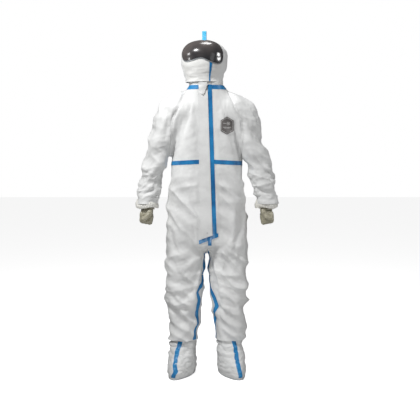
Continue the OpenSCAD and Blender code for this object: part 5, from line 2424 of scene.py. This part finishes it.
def floor_material() -> bpy.types.Material:
    """Makes the floor's plain pale material, which throws little light back up.

    Returns:
        The material.
    """
    material = bpy.data.materials.new("studio_floor")
    material.use_nodes = True
    nodes, links = material.node_tree.nodes, material.node_tree.links
    nodes.clear()
    pale = nodes.new("ShaderNodeBsdfPrincipled")
    pale.label = "Plain pale floor"
    pale.inputs["Base Color"].default_value = (0.94, 0.94, 0.94, 1)
    pale.inputs["Roughness"].default_value = 0.9
    pale.inputs["Specular IOR Level"].default_value = 0.1
    pale.inputs["Emission Color"].default_value = (1, 1, 1, 1)
    pale.inputs["Emission Strength"].default_value = 0.80
    dull = nodes.new("ShaderNodeBsdfDiffuse")
    dull.label = "What the floor throws back"
    dull.inputs["Color"].default_value = (0.45, 0.45, 0.45, 1)
    seen = nodes.new("ShaderNodeLightPath")
    seen.label = "Looked at, or lighting the suit"
    both = nodes.new("ShaderNodeMixShader")
    both.label = "Pale or dull"
    result = nodes.new("ShaderNodeOutputMaterial")
    result.label = "Floor"
    for node, spot in (
        (seen, (-300, 200)), (dull, (-300, 0)), (pale, (-300, -200)), (both, (60, 0)), (result, (280, 0)),
    ):
        node.location = spot
    links.new(seen.outputs["Is Camera Ray"], both.inputs["Fac"])
    links.new(dull.outputs["BSDF"], both.inputs[1])
    links.new(pale.outputs["BSDF"], both.inputs[2])
    links.new(both.outputs["Shader"], result.inputs["Surface"])
    return material


# ---------------------------------------------------------------- studio


@dataclass
class Studio:
    """The floor, the lights and the camera.

    Attributes:
        distance: How far the camera stands in front of the suit.
        eye: The camera's height.
        aim: The point it looks at: aside and height.
        lens: Its focal length in millimetres.
        ambient: The strength of the light from all round.
    """

    distance: float = 4.6
    eye: float = 1.28
    aim: tuple[float, float] = (0.030, 0.900)
    lens: float = 73.0
    ambient: float = 0.125

    def camera(self) -> None:
        """Sets up the camera in front of the suit."""
        data = bpy.data.cameras.new("camera")
        data.lens = self.lens
        data.clip_end = 60
        view = bpy.data.objects.new("camera", data)
        bpy.context.scene.collection.objects.link(view)
        view.location = (self.aim[0], -self.distance, self.eye + SOLE_Z)
        aim = Vector((self.aim[0], -0.08, self.aim[1] + SOLE_Z)) - view.location
        view.rotation_euler = aim.to_track_quat("-Z", "Y").to_euler()
        bpy.context.scene.camera = view

    def lights(self) -> None:
        """Sets up the soft lights and the white surroundings."""
        world = bpy.data.worlds.new("studio")
        bpy.context.scene.world = world
        world.use_nodes = True
        nodes, links = world.node_tree.nodes, world.node_tree.links
        nodes.clear()
        glow = nodes.new("ShaderNodeBackground")
        glow.label = "Soft light from all round"
        glow.inputs["Color"].default_value = (1, 1, 1, 1)
        glow.inputs["Strength"].default_value = self.ambient
        paper = nodes.new("ShaderNodeBackground")
        paper.label = "White paper behind the suit"
        paper.inputs["Color"].default_value = (1, 1, 1, 1)
        paper.inputs["Strength"].default_value = 1.0
        seen = nodes.new("ShaderNodeLightPath")
        seen.label = "Paper only where it is looked at"
        both = nodes.new("ShaderNodeMixShader")
        both.label = "Paper or light"
        result = nodes.new("ShaderNodeOutputWorld")
        result.label = "Surroundings"
        for node, spot in (
            (seen, (-300, 200)), (glow, (-300, 0)), (paper, (-300, -150)), (both, (0, 0)), (result, (220, 0)),
        ):
            node.location = spot
        links.new(seen.outputs["Is Camera Ray"], both.inputs["Fac"])
        links.new(glow.outputs["Background"], both.inputs[1])
        links.new(paper.outputs["Background"], both.inputs[2])
        links.new(both.outputs["Shader"], result.inputs["Surface"])
        for name, spot, size, energy in (
            ("key", (-0.90, -1.1, 0.85), 0.35, 36.0), ("fill", (1.9, -2.6, 0.1), 1.0, 3.0),
            ("top", (0.2, 0.5, 1.7), 0.8, 16.0), ("left", (-2.3, -0.7, 0.2), 0.5, 10.0),
            ("right", (2.3, -0.7, 0.2), 0.5, 16.0), ("feet", (0.1, -1.3, -1.70), 0.4, 4.5),
        ):
            data = bpy.data.lights.new(name, "AREA")
            data.shape = "DISK"
            data.size = size
            data.energy = energy
            lamp = bpy.data.objects.new(name, data)
            bpy.context.scene.collection.objects.link(lamp)
            lamp.location = spot
            lamp.rotation_euler = (Vector((0, 0, -0.55)) - lamp.location).to_track_quat("-Z", "Y").to_euler()

    def floor(self) -> None:
        """Lays the floor."""
        size = 14.0
        signs = ((-1, -1), (1, -1), (1, 1), (-1, 1))
        corners = np.array([(size * x, size * y, SOLE_Z) for x, y in signs])
        floor = new_mesh("floor", corners - np.array([0, 0, 0.0006]), [(0, 1, 2, 3)])
        floor.data.materials.append(floor_material())


def main() -> None:
    """Builds the suit round its frame."""
    logging.basicConfig(level=logging.INFO, format="%(name)s: %(message)s")
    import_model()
    studio = Studio()
    studio.camera()
    studio.lights()
    studio.floor()
    bpy.context.scene.view_settings.view_transform = "Standard"
    white, face_cloth, blue = cloth_material(WHITE), cloth_material(FACE), cloth_material(BLUE)
    thread, knit, elastic = cloth_material(THREAD), cloth_material(KNIT, True), cloth_material(ELASTIC, True)
    tree = row_tree()
    suit = Coverall()
    suit.material, suit.tape = white, blue
    suit.sew()
    suit.torso_panels()
    for side in Side:
        suit.limb_panels(side)
        suit.leg_tapes(side)
    suit.round_tapes()
    suit.front_tapes()
    suit.elastic(elastic)
    closure = Closure(suit)
    closure.flap(white, thread, tree)
    closure.tab(white)
    closure.zip(cloth_material(ZIP_WEB, True), cloth_material(COIL), hard_material(METAL), tree)
    closure.badge(cloth_material(BADGE), cloth_material(MARKS))
    hood = Hood()
    hood.build(white, face_cloth, blue, hard_material(LENS), hard_material(RIM))
    hood.collar(white)
    hood.loop(cloth_material(WEBBING, True), thread, tree)
    latex, rubber = cloth_material(LATEX), cloth_material(RUBBER)
    for side in Side:
        hand = Hand(side)
        hand.fist(latex)
        hand.cuff(knit, elastic)
        Foot(side).build(white, blue, rubber, tree)


if __name__ == "__main__":
    main()
